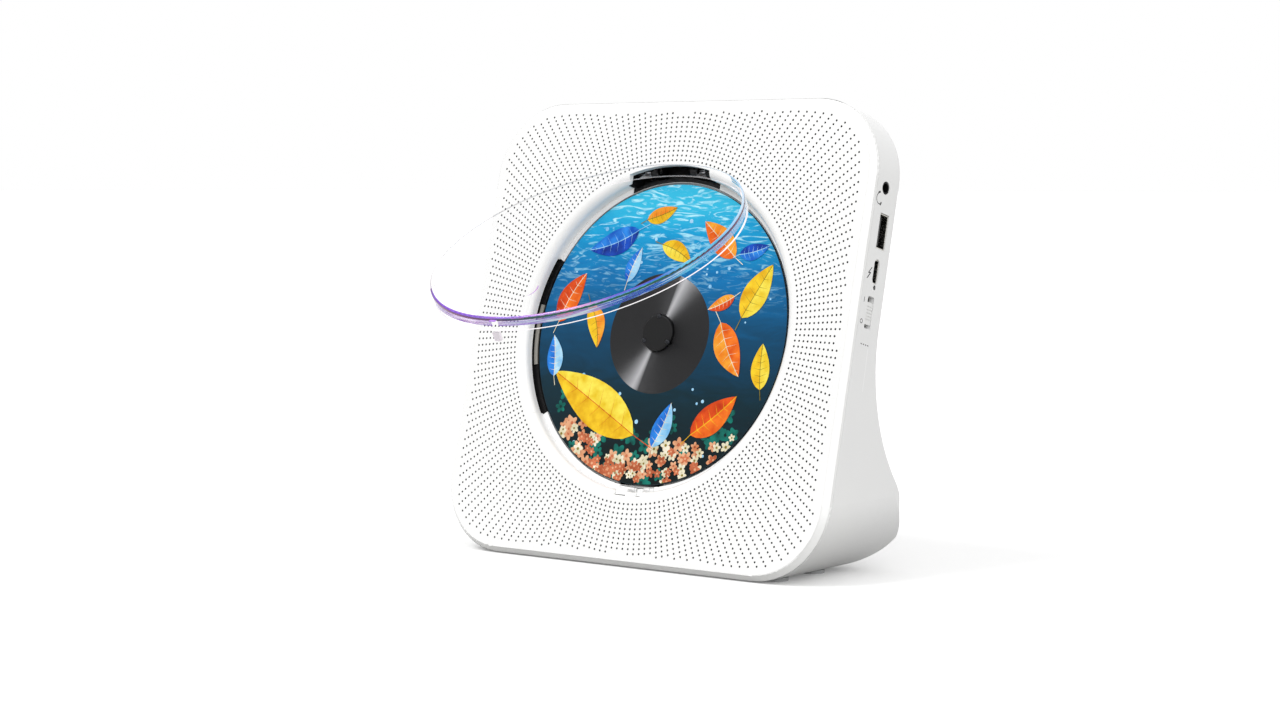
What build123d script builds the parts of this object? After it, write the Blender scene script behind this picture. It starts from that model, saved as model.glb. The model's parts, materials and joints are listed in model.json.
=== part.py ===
"""Leaning desktop disc player: a square perforated front over a flared foot, a round disc well with a
hinged clear cover, and the drive, boards, speakers and battery that it holds.

Millimetres. Pieces are drawn in the panel frame: x to the right, v up the leaning front face and depth
straight in behind it, with the disc's axis at x = v = 0. They are then stood on the floor, +Z up, with
the front towards -Y, and the row's origin under the middle of the whole bounding box.
"""

from build123d import *
import math
import os

# ---------------------------------------------------------------- driving dimensions
# Body
FACE_MARGIN = 29.7           # flat front left beside the round hole
CORNER_RADIUS = 30.0
LEAN_DEG = 14.0              # the face leans back from upright
WALL = 2.2
RIM_DEPTH = 20.3             # front face to the back of the thin upper body
FRONT_ROUND = 2.2
REAR_ROUND = 3.0
ROUND_RISE = 48.7            # height up the face where the rounding of the rear edges stops
SEAM_DEPTH = 3.5             # parting line between panel and housing
SEAM_GAP = 0.15
PANEL_PLATE = 2.4
LIP_WALL = 1.4
LIP_DEPTH = 6.0
FIT_GAP = 0.2                # between pieces that drop into each other
# Foot
FOOT_REACH = 43.0            # floor point under the disc's axis to the back of the foot
HEEL_RADIUS = 19.0
CALF_RADIUS = 15.0
SWEEP_RADIUS = 67.0
PLAN_RADIUS = 12.0
PLAN_EASE = 0.3              # the plan rounding stands this far out of the foot's back
SPLIT_RISE = 107.7           # height up the face above which the body is a plain slab
# Rear cover and its hump
COVER_SIDE_MARGIN = 12.7
COVER_TOP_MARGIN = 6.7
COVER_RISE = 62.7            # foot of the cover above the toe, up the face
COVER_CORNER = 12.0
HUMP_SIDE_MARGIN = 22.7
HUMP_TOP_MARGIN = 14.7
HUMP_RISE = 17.7
HUMP_DEPTH = 36.0
HUMP_TAPER_DEG = 20.0
HUMP_CORNER = 18.0
# Disc well
HOLE_STEP = 2.2              # the hole's wall beyond the well's
HOLE_ROUND = 3.4
COLLAR_WALL = 3.8
COLLAR_DEPTH = 6.0
LEDGE_GAP = 0.1
LEDGE_THICKNESS = 1.5
WELL_CLEARANCE = 0.8         # disc's edge to the well's wall
FLOOR_CLEARANCE = 1.5        # disc's back to the well's floor
FLOOR_THICKNESS = 1.5
TURNTABLE_CLEARANCE = 2.0
# Disc
DISC_RADIUS = 60.0
DISC_BORE_RADIUS = 7.5
DISC_THICKNESS = 1.2
DISC_DEPTH = 5.7
# Clear cover and its hinge
COVER_CLEARANCE = 1.2        # closed cover's edge to the hole
COVER_FACE = -0.3            # depth: the closed cover stands a little proud
COVER_PLATE = 1.7
COVER_WALL = 1.4
COVER_TO_DISC = 0.5
COVER_OPEN_DEG = 49.0
HINGE_X = -2.5               # the hinge stands a little left of the middle
HINGE_EDGE_GAP = 0.9         # knuckle to the closed cover's edge
HINGE_DEPTH = 5.0
PIN_RADIUS = 1.0
PIN_CLEARANCE = 0.05
KNUCKLE_RADIUS = 2.3
EAR_INNER_X = 11.8
EAR_WIDTH = 3.2
EAR_ROOT = 3.0               # ear's start inside the cover's edge
EAR_NECK = (3.1, 0.8)        # top of the ear's neck, back from the hinge axis and above it
KNUCKLE_WIDTH = 3.6
KNUCKLE_GAP = 0.2
POCKET_HALF_WIDTH = 19.5
POCKET_GAP = 0.3             # knuckle to the pocket's top wall
POCKET_ROOM = 2.7            # knuckle to the pocket's floor
POCKET_WALL = 1.5
DIMPLE_RADIUS = 6.5
DIMPLE_MARGIN = 19.8         # dimple's middle to the cover's edge
DIMPLE_SINK = 0.6
TONGUE_X = 1.8
TONGUE_WIDTH = 3.0
TONGUE_LENGTH = 3.4          # beyond the cover's skirt
TONGUE_THICKNESS = 1.4
# Latch keeper at six o'clock
KEEPER_LEFT = -8.0
KEEPER_RIGHT = 8.4
KEEPER_MARGIN = 3.4          # keeper beyond the hole
KEEPER_THICKNESS = 3.5
PAD_STEP = 0.7               # low step of each tab, under the closed cover's skirt
PAD_FACE = 1.6               # depth of the tabs' faces
PAD_MARGIN = 1.6             # tabs beyond the hole's wall
PAD_SLIT = 0.5               # dark slit past each tab's end
PAD_SPANS = ((-6.4, -0.4), (4.0, 6.8))
# Dark window at nine o'clock
WINDOW_START_DEG = 153.0
WINDOW_END_DEG = 213.5
WINDOW_MARGIN = 1.4          # window beyond the hole's wall
WINDOW_GAP = 0.1
INSERT_START_DEG = 171.0
INSERT_END_DEG = 194.0
INSERT_MARGIN = 0.4          # pad short of the hole's wall
INSERT_HEIGHT = 0.6
# Spindle
TURNTABLE_RADIUS = 15.0
TURNTABLE_THICKNESS = 1.3
PAD_THICKNESS = 0.4
HUB_CLEARANCE = 0.15         # hub inside the disc's bore
HUB_RISE = 1.5               # above the disc
BALL_RADIUS = 1.2
BALL_INSET = 0.75            # ball's middle inside the hub's edge
BALL_RISE = 0.9              # ball's middle above the disc
BALL_ANGLES = (90.0, 210.0, 330.0)
HUB_ROUND = 0.8
SHAFT_RADIUS = 1.0
MOTOR_RADIUS = 12.0
MOTOR_GAP = 0.8              # turntable to motor
# Drive chassis
CHASSIS_DEPTH = 15.4
CHASSIS_THICKNESS = 1.2
CHASSIS_HALF_WIDTH = 47.0
CHASSIS_TOP = 24.0
DAMPER_POINTS = ((-38.0, 12.0), (38.0, 12.0), (-30.0, -52.0), (30.0, -52.0))
DAMPER_RADIUS = 4.2
DAMPER_NECK = 3.2
DAMPER_BORE = 1.7
DAMPER_FLANGE = 1.4
# Pickup sled
ROD_X = 16.0
ROD_RADIUS = 1.5
ROD_SPARE = 4.0              # rod left beyond the sled at either end of its travel
ROD_SEAT = 2.5
LENS_START = 24.0
SLED_TRAVEL = 32.0
SLED_HALF_LENGTH = 8.5
SLED_FLOOR_GAP = 1.0         # well's floor to the sled
SLED_SINK = 1.8              # sled's back behind the chassis
SLED_WINDOW_INSET = 2.0      # chassis window inside the rods
ROD_HOLDER = 2.8
LENS_SLOT = 11.0
LENS_SLOT_SPARE = 4.0
LENS_RADIUS = 2.2
# Sled gears
GEAR_MODULE = 0.6
GEAR_TEETH = 24
PINION_TEETH = 10
GEAR_BACKLASH = 0.16
ADDENDUM = 0.5
DEDENDUM = 0.7
GEAR_PIN_RADIUS = 1.2
PINION_SHAFT_RADIUS = 0.75
RACK_REACH = 4.0             # rack left beyond the gear at either end of the travel
GEAR_FLOOR_GAP = 2.3
GEAR_WIDTH = 2.4
GEAR_BELOW_LENS = 12.0
RACK_OFFSET = 6.0            # rack's pitch line outside the rod
PINION_ANGLE_DEG = 20.0
SLED_MOTOR_RADIUS = 6.5
SLED_MOTOR_LENGTH = 8.0
# Side connectors: v and depth of each on the right wall
JACK_V, JACK_DEPTH = 59.5, 9.6
JACK_BORE_RADIUS = 1.8
JACK_NOSE_RADIUS = 2.3
JACK_LENGTH = 14.0
USB_A_V, USB_A_DEPTH = 43.2, 11.5
USB_A_OPENING = (12.5, 5.1)
USB_C_V, USB_C_DEPTH = 27.8, 10.8
USB_C_OPENING = (8.4, 2.6)
SHELL_WALL = 0.3
LED_V, LED_DEPTH = 21.9, 11.2
LED_RADIUS = 0.8
SWITCH_V, SWITCH_DEPTH = 12.1, 10.1
SWITCH_SLOT = (12.2, 4.2)
KNOB_SIZE = (8.4, 3.8)
KNOB_REST_V = 11.8
KNOB_PROUD = -0.2
KNOB_STEM_LENGTH = 3.0
KNOB_STEM_WIDTH = 1.8
PORT_BOARD_DEPTH = 14.6
PORT_BOARD_REACH = 20.5      # inwards from the side wall
PORT_BOARD_SPAN = (5.0, 67.0)
CONNECTOR_REACH = 11.5
BOARD_THICKNESS = 1.6
# Boards
MAIN_BOARD_DEPTH = 22.0
MAIN_BOARD_HALF_WIDTH = 52.0
MAIN_BOARD_BOTTOM = 24.0
MAIN_BOARD_TOP = 64.0
MAIN_BOARD_POSTS = ((-47.0, 29.0), (47.0, 29.0), (-47.0, 59.0), (47.0, 59.0))
BOARD_POST_RADIUS = 3.0
BOARD_CHIPS = ((-17.0, 44.0, 14.0, 14.0, 1.4), (24.0, 48.0, 12.0, 12.0, 1.2), (-37.0, 44.0, 6.0, 26.0, 3.0))
SHIELD = (3.0, 45.0, 18.0, 22.0, 2.6)      # x, v, width, height and rise of the shield can
SHIELD_WALL = 0.4
# Top buttons
BUTTON_COUNT = 5
BUTTON_PITCH = 19.0
BUTTON_SIZE = (12.0, 5.0)
BUTTON_DEPTH = 11.5
BUTTON_PROUD = 0.8
BUTTON_TRAVEL = 0.5
BUTTON_GAP = 0.55            # button to the pressed height of its switch
BUTTON_BOARD_DROP = 7.1      # below the top wall
BUTTON_BOARD_REACH = 5.5     # in front of the buttons' middle
BUTTON_BOARD_HALF = 46.0
BUTTON_FLANGE = 1.4
BUTTON_NAMES = ("power", "back", "play", "next", "mode")
TACT_SIZE = 6.0
TACT_HEIGHT = 3.6
# Speakers
SPEAKER_MARGIN = 27.3        # speaker's middle from the side and from the toe
SPEAKER_RADIUS = 21.0
SPEAKER_DEPTH = 19.0
MAGNET_RADIUS = 11.0
BASKET_BACK = 14.0
CONE_RADIUS = 17.5
CLOTH_THICKNESS = 0.3
# Battery
CELL_RADIUS = 9.2
CELL_LENGTH = 65.0
CELL_GAP = 2.0
CELL_Y = 21.0
CELL_Z = 14.2
# Fasteners
SCREW_RADIUS = 1.2
PILOT_RADIUS = 1.25
HEAD_RADIUS = 2.6
HEAD_HEIGHT = 1.2
BOSS_RADIUS = 3.4
SCREW_STOP = 1.0             # screw's tip short of its hole's end
POST_MARGIN = 16.7           # side posts' middle from the side and the top
HOUSING_POST_RISE = 68.7     # lower posts above the toe, up the face
COVER_POST_RISE = 80.7
COVER_POST_X = 55.0
COVER_POST_MARGIN = 11.7     # upper cover posts' middle from the top
HOUSING_POST_END = 12.0
TAB_THICKNESS = 1.6
COVER_RECESS = 1.4
DISH_EAR_ANGLES = (50.0, 130.0, 255.0, 285.0)
DISH_EAR_REACH = 4.2         # ears' screws outside the collar
# Feet and wall slots
FOOT_PAD_SIZE = (26.0, 9.0)
FOOT_PAD_THICKNESS = 1.4
FOOT_PAD_PROUD = 0.5
FOOT_PAD_MARGIN = 34.7
FOOT_PAD_YS = (-9.0, 15.0)
KEYHOLE_X = 35.0
KEYHOLE_V = 46.0
KEYHOLE_RADIUS = 4.0
KEYHOLE_SLOT_WIDTH = 4.0
KEYHOLE_SLOT_LENGTH = 8.0

# ---------------------------------------------------------------- worked-out places
LEAN = math.radians(LEAN_DEG)
WELL_RADIUS = DISC_RADIUS + WELL_CLEARANCE
HOLE_RADIUS = WELL_RADIUS + HOLE_STEP
COLLAR_RADIUS = HOLE_RADIUS + COLLAR_WALL
PANEL_HALF = HOLE_RADIUS + FACE_MARGIN
FACE_HEIGHT = PANEL_HALF * math.cos(LEAN)
PANEL_PLANE = Plane(origin=(0, 0, FACE_HEIGHT), x_dir=(1, 0, 0),
                    z_dir=(0, -math.cos(LEAN), math.sin(LEAN)))
INNER_HALF = PANEL_HALF - WALL
RIM_INNER = RIM_DEPTH - WALL
HUMP_INNER = HUMP_DEPTH - WALL
ROUND_END = ROUND_RISE - PANEL_HALF
SPLIT_HEIGHT = SPLIT_RISE - PANEL_HALF
COVER_HALF_WIDTH = PANEL_HALF - COVER_SIDE_MARGIN
COVER_TOP = PANEL_HALF - COVER_TOP_MARGIN
COVER_BOTTOM = COVER_RISE - PANEL_HALF
HUMP_HALF_WIDTH = PANEL_HALF - HUMP_SIDE_MARGIN
HUMP_TOP = PANEL_HALF - HUMP_TOP_MARGIN
HUMP_BOTTOM = HUMP_RISE - PANEL_HALF
LEDGE_DEPTH = COLLAR_DEPTH + LEDGE_GAP
DISC_BACK = DISC_DEPTH + DISC_THICKNESS
WELL_FLOOR = DISC_BACK + FLOOR_CLEARANCE
FLOOR_BACK = WELL_FLOOR + FLOOR_THICKNESS
DISH_EAR_ORBIT = COLLAR_RADIUS + DISH_EAR_REACH
COVER_RADIUS = HOLE_RADIUS - COVER_CLEARANCE
COVER_SKIRT_END = DISC_DEPTH - COVER_TO_DISC
DIMPLE_OFFSET = COVER_RADIUS - DIMPLE_MARGIN
HINGE_HEIGHT = COVER_RADIUS + HINGE_EDGE_GAP + KNUCKLE_RADIUS
POCKET_LEFT = HINGE_X - POCKET_HALF_WIDTH
POCKET_RIGHT = HINGE_X + POCKET_HALF_WIDTH
POCKET_TOP = HINGE_HEIGHT + KNUCKLE_RADIUS + POCKET_GAP
POCKET_DEPTH = HINGE_DEPTH + KNUCKLE_RADIUS + POCKET_ROOM + POCKET_WALL
POCKET_EDGE = HOLE_RADIUS + HOLE_ROUND
TONGUE_END = COVER_SKIRT_END + TONGUE_LENGTH
KEEPER_BOTTOM = -HOLE_RADIUS - KEEPER_MARGIN
KEEPER_BACK = LEDGE_DEPTH + KEEPER_THICKNESS
PAD_BOTTOM = -HOLE_RADIUS - PAD_MARGIN
WINDOW_OUTER = HOLE_RADIUS + WINDOW_MARGIN
WINDOW_BACK = WELL_FLOOR - WINDOW_GAP
INSERT_OUTER = HOLE_RADIUS - INSERT_MARGIN
HUB_RADIUS = DISC_BORE_RADIUS - HUB_CLEARANCE
BALL_ORBIT = HUB_RADIUS - BALL_INSET
BALL_DEPTH = DISC_DEPTH - BALL_RISE
TURNTABLE_OPENING = TURNTABLE_RADIUS + TURNTABLE_CLEARANCE
TURNTABLE_FRONT = DISC_BACK + PAD_THICKNESS
TURNTABLE_BACK = TURNTABLE_FRONT + TURNTABLE_THICKNESS
MOTOR_FRONT = TURNTABLE_BACK + MOTOR_GAP
CHASSIS_BACK = CHASSIS_DEPTH + CHASSIS_THICKNESS
DAMPER_FRONT = CHASSIS_DEPTH - DAMPER_FLANGE
DAMPER_BACK = CHASSIS_BACK + DAMPER_FLANGE
ROD_DEPTH = CHASSIS_DEPTH - ROD_RADIUS
ROD_TOP = SLED_HALF_LENGTH + ROD_SPARE - LENS_START
ROD_BOTTOM = -LENS_START - SLED_TRAVEL - SLED_HALF_LENGTH - ROD_SPARE
CHASSIS_BOTTOM = ROD_BOTTOM - ROD_SEAT
SLED_FRONT = FLOOR_BACK + SLED_FLOOR_GAP
SLED_BACK = CHASSIS_BACK + SLED_SINK
SLED_WINDOW = ROD_X - SLED_WINDOW_INSET
LENS_V = -LENS_START
LENS_SLOT_END = LENS_V - SLED_TRAVEL - LENS_SLOT_SPARE
GEAR_FRONT = FLOOR_BACK + GEAR_FLOOR_GAP
GEAR_RADIUS = GEAR_MODULE * GEAR_TEETH / 2
PINION_RADIUS = GEAR_MODULE * PINION_TEETH / 2
RACK_PITCH_X = ROD_X + RACK_OFFSET
GEAR_X = RACK_PITCH_X + GEAR_RADIUS
GEAR_V = LENS_V - GEAR_BELOW_LENS
PINION_X = GEAR_X + (GEAR_RADIUS + PINION_RADIUS) * math.cos(math.radians(PINION_ANGLE_DEG))
PINION_V = GEAR_V + (GEAR_RADIUS + PINION_RADIUS) * math.sin(math.radians(PINION_ANGLE_DEG))
PORT_BOARD_INNER = INNER_HALF - PORT_BOARD_REACH
CONNECTOR_INNER = INNER_HALF - CONNECTOR_REACH
MAIN_BOARD_BACK = MAIN_BOARD_DEPTH + BOARD_THICKNESS
BUTTON_BOARD_V = INNER_HALF - BUTTON_BOARD_DROP
CLOTH_BACK = PANEL_PLATE + CLOTH_THICKNESS
SPEAKER_X = PANEL_HALF - SPEAKER_MARGIN
SPEAKER_V = SPEAKER_MARGIN - PANEL_HALF
POST_X = PANEL_HALF - POST_MARGIN
HOUSING_POSTS = [(side * POST_X, v) for v in (POST_X, HOUSING_POST_RISE - PANEL_HALF) for side in (-1, 1)]
COVER_POSTS = [(side * x, v) for x, v in ((COVER_POST_X, PANEL_HALF - COVER_POST_MARGIN),
                                          (POST_X, COVER_POST_RISE - PANEL_HALF)) for side in (-1, 1)]
FOOT_PAD_X = PANEL_HALF - FOOT_PAD_MARGIN
REACH = 400.0                # longer than any piece: for cutting tools


# ---------------------------------------------------------------- drawing helpers
def layer(sketch, near, far):
    """A sketch of the panel frame made solid between two depths."""
    return Pos(0, 0, -near) * extrude(sketch, amount=near - far)


def post(x, v, radius, near, far):
    return layer(Pos(x, v) * Circle(radius), near, far)


def block(left, right, bottom, top, near, far):
    return layer(Pos((left + right) / 2, (bottom + top) / 2) * Rectangle(right - left, top - bottom), near, far)


def ring(outer, inner, near, far):
    return layer(Circle(outer) - Circle(inner), near, far)


def across(x_near, x_far, v, depth, sketch):
    """A sketch drawn on the side wall, first axis up the face and second inwards, run along x."""
    side = Plane(origin=(x_near, v, -depth), x_dir=(0, 1, 0), z_dir=(1, 0, 0))
    return extrude(side * sketch, amount=x_far - x_near)


def upright(v_near, v_far, x, depth, sketch):
    """A sketch drawn on the top wall, first axis along x and second along depth, run along v."""
    top = Plane(origin=(x, v_near, -depth), x_dir=(1, 0, 0), z_dir=(0, 1, 0))
    return extrude(top * sketch, amount=v_far - v_near)


def arc_band(outer, inner, start_deg, end_deg, near, far):
    """Part of a ring between two angles, counted anticlockwise from +x."""
    reach = 2 * outer
    angles = [start_deg, (start_deg + end_deg) / 2, end_deg]
    rim = [(reach * math.cos(math.radians(a)), reach * math.sin(math.radians(a))) for a in angles]
    wedge = make_face(Polyline((0, 0), *rim, (0, 0)))
    return layer((Circle(outer) - Circle(inner)) & wedge, near, far)


def to_floor(v, depth):
    """World (y, z) of a point of the panel frame."""
    return (v * math.sin(LEAN) + depth * math.cos(LEAN),
            FACE_HEIGHT + v * math.cos(LEAN) - depth * math.sin(LEAN))


def to_panel(y, z):
    """Panel-frame (v, depth) of a world point."""
    rise = z - FACE_HEIGHT
    return (rise * math.cos(LEAN) + y * math.sin(LEAN), y * math.cos(LEAN) - rise * math.sin(LEAN))


def from_world(solid):
    return PANEL_PLANE.location.inverse() * solid


def screw(x, v, head_depth, tip_depth, direction=1, shank=SCREW_RADIUS):
    """A pan-head screw along depth; direction 1 points its tip at the viewer."""
    head = post(x, v, HEAD_RADIUS, head_depth, head_depth + direction * HEAD_HEIGHT)
    return head + post(x, v, shank, head_depth, tip_depth)


# ---------------------------------------------------------------- body form
def outline(inset):
    side = 2 * (PANEL_HALF - inset)
    return RectangleRounded(side, side, CORNER_RADIUS - inset)


def side_profile(inset, front):
    """The lower body from the side: leaning front, flat floor, round heel, calf and hollow sweep."""
    calf_v, calf_depth = to_panel(FOOT_REACH - CALF_RADIUS, HEEL_RADIUS)
    calf = CALF_RADIUS - inset
    sweep = SWEEP_RADIUS + inset
    back = RIM_DEPTH - inset
    sweep_v = calf_v + math.sqrt((sweep + calf) ** 2 - (back + sweep - calf_depth) ** 2)
    calf_y, calf_z = to_floor(calf_v, calf_depth)
    sweep_y, sweep_z = to_floor(sweep_v, back + sweep)
    meet = math.atan2(sweep_z - calf_z, sweep_y - calf_y)
    rise = math.pi - LEAN

    def on(centre_y, centre_z, radius, angle):
        return (centre_y + radius * math.cos(angle), centre_z + radius * math.sin(angle))

    top_front = to_floor(SPLIT_HEIGHT + WALL, front)
    toe = ((inset - FACE_HEIGHT) * math.tan(LEAN) + front / math.cos(LEAN), inset)
    heel_start = (FOOT_REACH - HEEL_RADIUS, inset)
    heel_end = (FOOT_REACH - inset, HEEL_RADIUS)
    calf_end = on(calf_y, calf_z, calf, meet)
    sweep_end = to_floor(sweep_v, back)
    top_back = to_floor(SPLIT_HEIGHT + WALL + 2 * CORNER_RADIUS, back)
    edges = [
        Line(top_front, toe),
        Line(toe, heel_start),
        ThreePointArc(heel_start, on(heel_start[0], HEEL_RADIUS, HEEL_RADIUS - inset, -math.pi / 4), heel_end),
        ThreePointArc(heel_end, on(calf_y, calf_z, calf, meet / 2), calf_end),
        ThreePointArc(calf_end, on(sweep_y, sweep_z, sweep, (meet + math.pi + rise) / 2), sweep_end),
        Line(sweep_end, top_back),
        Line(top_back, top_front),
    ]
    return Plane.YZ * make_face(edges)


def lean_body(inset=0.0, front=0.0):
    """The player's outer form, or the hollow inside it for an inset of one wall."""
    slab = layer(outline(inset), front, RIM_DEPTH - inset)
    slab = slab & block(-REACH, REACH, SPLIT_HEIGHT, REACH, -REACH, REACH)
    prism = extrude(Pos(0, front * 2, 0) * (PANEL_PLANE * outline(inset)), amount=REACH, dir=(0, 1, 0))
    side = extrude(side_profile(inset, front), amount=PANEL_HALF + WALL, both=True)
    foot = (prism & side) - plan_corners(inset)
    return slab + (from_world(foot) & block(-REACH, REACH, -REACH, SPLIT_HEIGHT, -REACH, REACH))


def plan_corners(inset):
    """What rounding the foot's two back corners, seen from above, takes away."""
    radius = PLAN_RADIUS - inset
    corners = Part()
    for side in (-1, 1):
        x, y = side * (PANEL_HALF - PLAN_RADIUS), FOOT_REACH - PLAN_RADIUS + PLAN_EASE
        outer = 2 * PLAN_RADIUS
        corner = Pos(x + side * outer / 2, y + outer / 2) * Rectangle(outer, outer)
        corners += Pos(0, 0, -1) * extrude(corner - Pos(x, y) * Circle(radius), amount=REACH)
    return corners


def hump(inset=0.0):
    """The raised back that clears the drive and the main board."""
    start = RIM_DEPTH - CORNER_RADIUS / 4
    width = 2 * (HUMP_HALF_WIDTH - inset)
    height = HUMP_TOP - HUMP_BOTTOM - 2 * inset
    base = Pos(0, (HUMP_TOP + HUMP_BOTTOM) / 2) * RectangleRounded(width, height, HUMP_CORNER - inset)
    solid = Pos(0, 0, -start) * extrude(base, amount=-(HUMP_DEPTH - inset - start), taper=HUMP_TAPER_DEG)
    inside = lean_body_hull(inset)
    return solid & inside


def lean_body_hull(inset):
    """Room that the hump may fill: above the floor and not behind the foot."""
    room = Pos(0, FOOT_REACH - REACH / 2, REACH / 2 + inset)
    room = from_world(room * Box(REACH, REACH, REACH)) + block(-REACH, REACH, 0, REACH, 0, REACH)
    return room


def edge_depths(edge):
    return [-(edge @ t).Z for t in (0, 0.5, 1)]


def rounded_body():
    body = lean_body()
    front = [e for e in body.edges() if max(abs(d) for d in edge_depths(e)) < 0.001]
    body = fillet(front, FRONT_ROUND)
    across_x = 2 * PANEL_HALF - 1
    rear = [e for e in body.edges() if edge_depths(e)[1] > RIM_DEPTH - 0.3 and (e @ 0.5).Y > ROUND_END
            and not (e.geom_type == GeomType.LINE and e.length > across_x)]
    return fillet(rear, REAR_ROUND)


# ---------------------------------------------------------------- cabinet
def panel_posts():
    """Screw posts on the back of the front panel, each with a pilot hole."""
    posts = Part()
    holes = Part()
    ear_points = [polar(DISH_EAR_ORBIT, a) for a in DISH_EAR_ANGLES]
    groups = ((HOUSING_POSTS, HOUSING_POST_END), (COVER_POSTS, RIM_INNER), (ear_points, COLLAR_DEPTH))
    for points, end in groups:
        for x, v in points:
            posts += post(x, v, BOSS_RADIUS, PANEL_PLATE, end)
            holes += post(x, v, PILOT_RADIUS, PANEL_PLATE + 0.6, end)
    return posts, holes


def polar(radius, angle_deg):
    return (radius * math.cos(math.radians(angle_deg)), radius * math.sin(math.radians(angle_deg)))


def front_panel(body):
    panel = body & block(-REACH, REACH, -REACH, REACH, -1, SEAM_DEPTH - SEAM_GAP / 2)
    behind = block(-REACH, REACH, -REACH, REACH, PANEL_PLATE, REACH)
    panel -= lean_body(WALL, -WALL) & behind
    lip = lean_body(WALL + FIT_GAP, -WALL) - lean_body(WALL + FIT_GAP + LIP_WALL, -WALL)
    panel += lip & block(-REACH, REACH, -REACH, REACH, PANEL_PLATE, LIP_DEPTH)
    panel += post(0, 0, COLLAR_RADIUS, PANEL_PLATE / 2, COLLAR_DEPTH)
    panel -= post(0, 0, HOLE_RADIUS, -1, COLLAR_DEPTH + 1)
    rim = [e for e in panel.edges() if e.geom_type == GeomType.CIRCLE
           and abs(e.radius - HOLE_RADIUS) < 0.01 and abs((e @ 0.5).Z) < 0.01]
    panel = fillet(rim, HOLE_ROUND)
    posts, holes = panel_posts()
    panel = panel + posts - holes
    mouth = block(POCKET_LEFT, POCKET_RIGHT, 0, POCKET_TOP, -1, PANEL_PLATE + 1)
    panel -= mouth & post(0, 0, POCKET_EDGE, -1, PANEL_PLATE + 1)
    panel -= pocket_room(PANEL_PLATE, COLLAR_DEPTH + 1)
    panel -= block(KEEPER_LEFT - FIT_GAP, KEEPER_RIGHT + FIT_GAP, KEEPER_BOTTOM - FIT_GAP, 0, PANEL_PLATE,
                   COLLAR_DEPTH + 1)
    for left, right in PAD_SPANS:
        panel -= block(left, right, PAD_BOTTOM - PAD_SLIT, 0, -1, COLLAR_DEPTH + 1)
    panel -= tongue_slot()
    panel -= arc_band(WINDOW_OUTER + FIT_GAP, HOLE_RADIUS - 2, WINDOW_START_DEG, WINDOW_END_DEG, -1,
                      COLLAR_DEPTH + 1)
    return panel


def pocket_room(near, far):
    """What the hinge pocket takes out of the pieces it stands in."""
    beside = POCKET_WALL + FIT_GAP
    return block(POCKET_LEFT - beside, POCKET_RIGHT + beside, 0, POCKET_TOP + beside, near, far)


def tongue_slot():
    half = TONGUE_WIDTH / 2 + FIT_GAP
    return block(TONGUE_X - half, TONGUE_X + half, -COVER_RADIUS - TONGUE_THICKNESS - FIT_GAP, 0, -1, REACH)


def cover_tool(gap):
    half, top, bottom = COVER_HALF_WIDTH + gap, COVER_TOP + gap, COVER_BOTTOM - gap
    shape = Pos(0, (top + bottom) / 2) * RectangleRounded(2 * half, top - bottom, COVER_CORNER + gap)
    return layer(shape, HOUSING_POST_END, REACH)


def cabinet_shell(body):
    hollow = lean_body(WALL, -WALL)
    return body + hump() - hollow - hump(WALL)


def housing(shell):
    box = shell & block(-REACH, REACH, -REACH, REACH, SEAM_DEPTH + SEAM_GAP / 2, REACH)
    box -= cover_tool(FIT_GAP)
    grip = lean_body(WALL / 2, -WALL)
    for x, v in HOUSING_POSTS:
        side = math.copysign(PANEL_HALF, x)
        tab = post(x, v, BOSS_RADIUS, HOUSING_POST_END, HOUSING_POST_END + TAB_THICKNESS)
        tab += block(min(x, side), max(x, side), v - BOSS_RADIUS, v + BOSS_RADIUS, HOUSING_POST_END,
                     HOUSING_POST_END + TAB_THICKNESS)
        box += tab & grip
        box -= post(x, v, SCREW_RADIUS + FIT_GAP, HOUSING_POST_END - 1, HOUSING_POST_END + TAB_THICKNESS + 1)
    for sketch, v, depth in port_openings():
        box -= across(INNER_HALF - 1, PANEL_HALF + 1, v, depth, sketch)
    for x in button_places():
        hole = RectangleRounded(BUTTON_SIZE[0] + FIT_GAP, BUTTON_SIZE[1] + FIT_GAP, BUTTON_SIZE[1] / 2 - 0.1)
        box -= upright(INNER_HALF - 1, PANEL_HALF + 1, x, BUTTON_DEPTH, hole)
    for x, y in foot_pad_places():
        recess = Pos(x, y, FOOT_PAD_THICKNESS - FOOT_PAD_PROUD - 2) * extrude(foot_pad_outline(FIT_GAP), amount=2)
        box -= from_world(recess)
    for x in (-1, 1):
        left, right = sorted((x * INNER_HALF, x * (BUTTON_BOARD_HALF + FIT_GAP)))
        top = BUTTON_BOARD_V - BOARD_THICKNESS
        ledge = block(left, right, top - LEDGE_THICKNESS, top, HOUSING_POST_END, RIM_INNER + 0.5)
        box += ledge & lean_body(WALL / 2, -WALL) - cover_tool(FIT_GAP)
    return box


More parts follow.
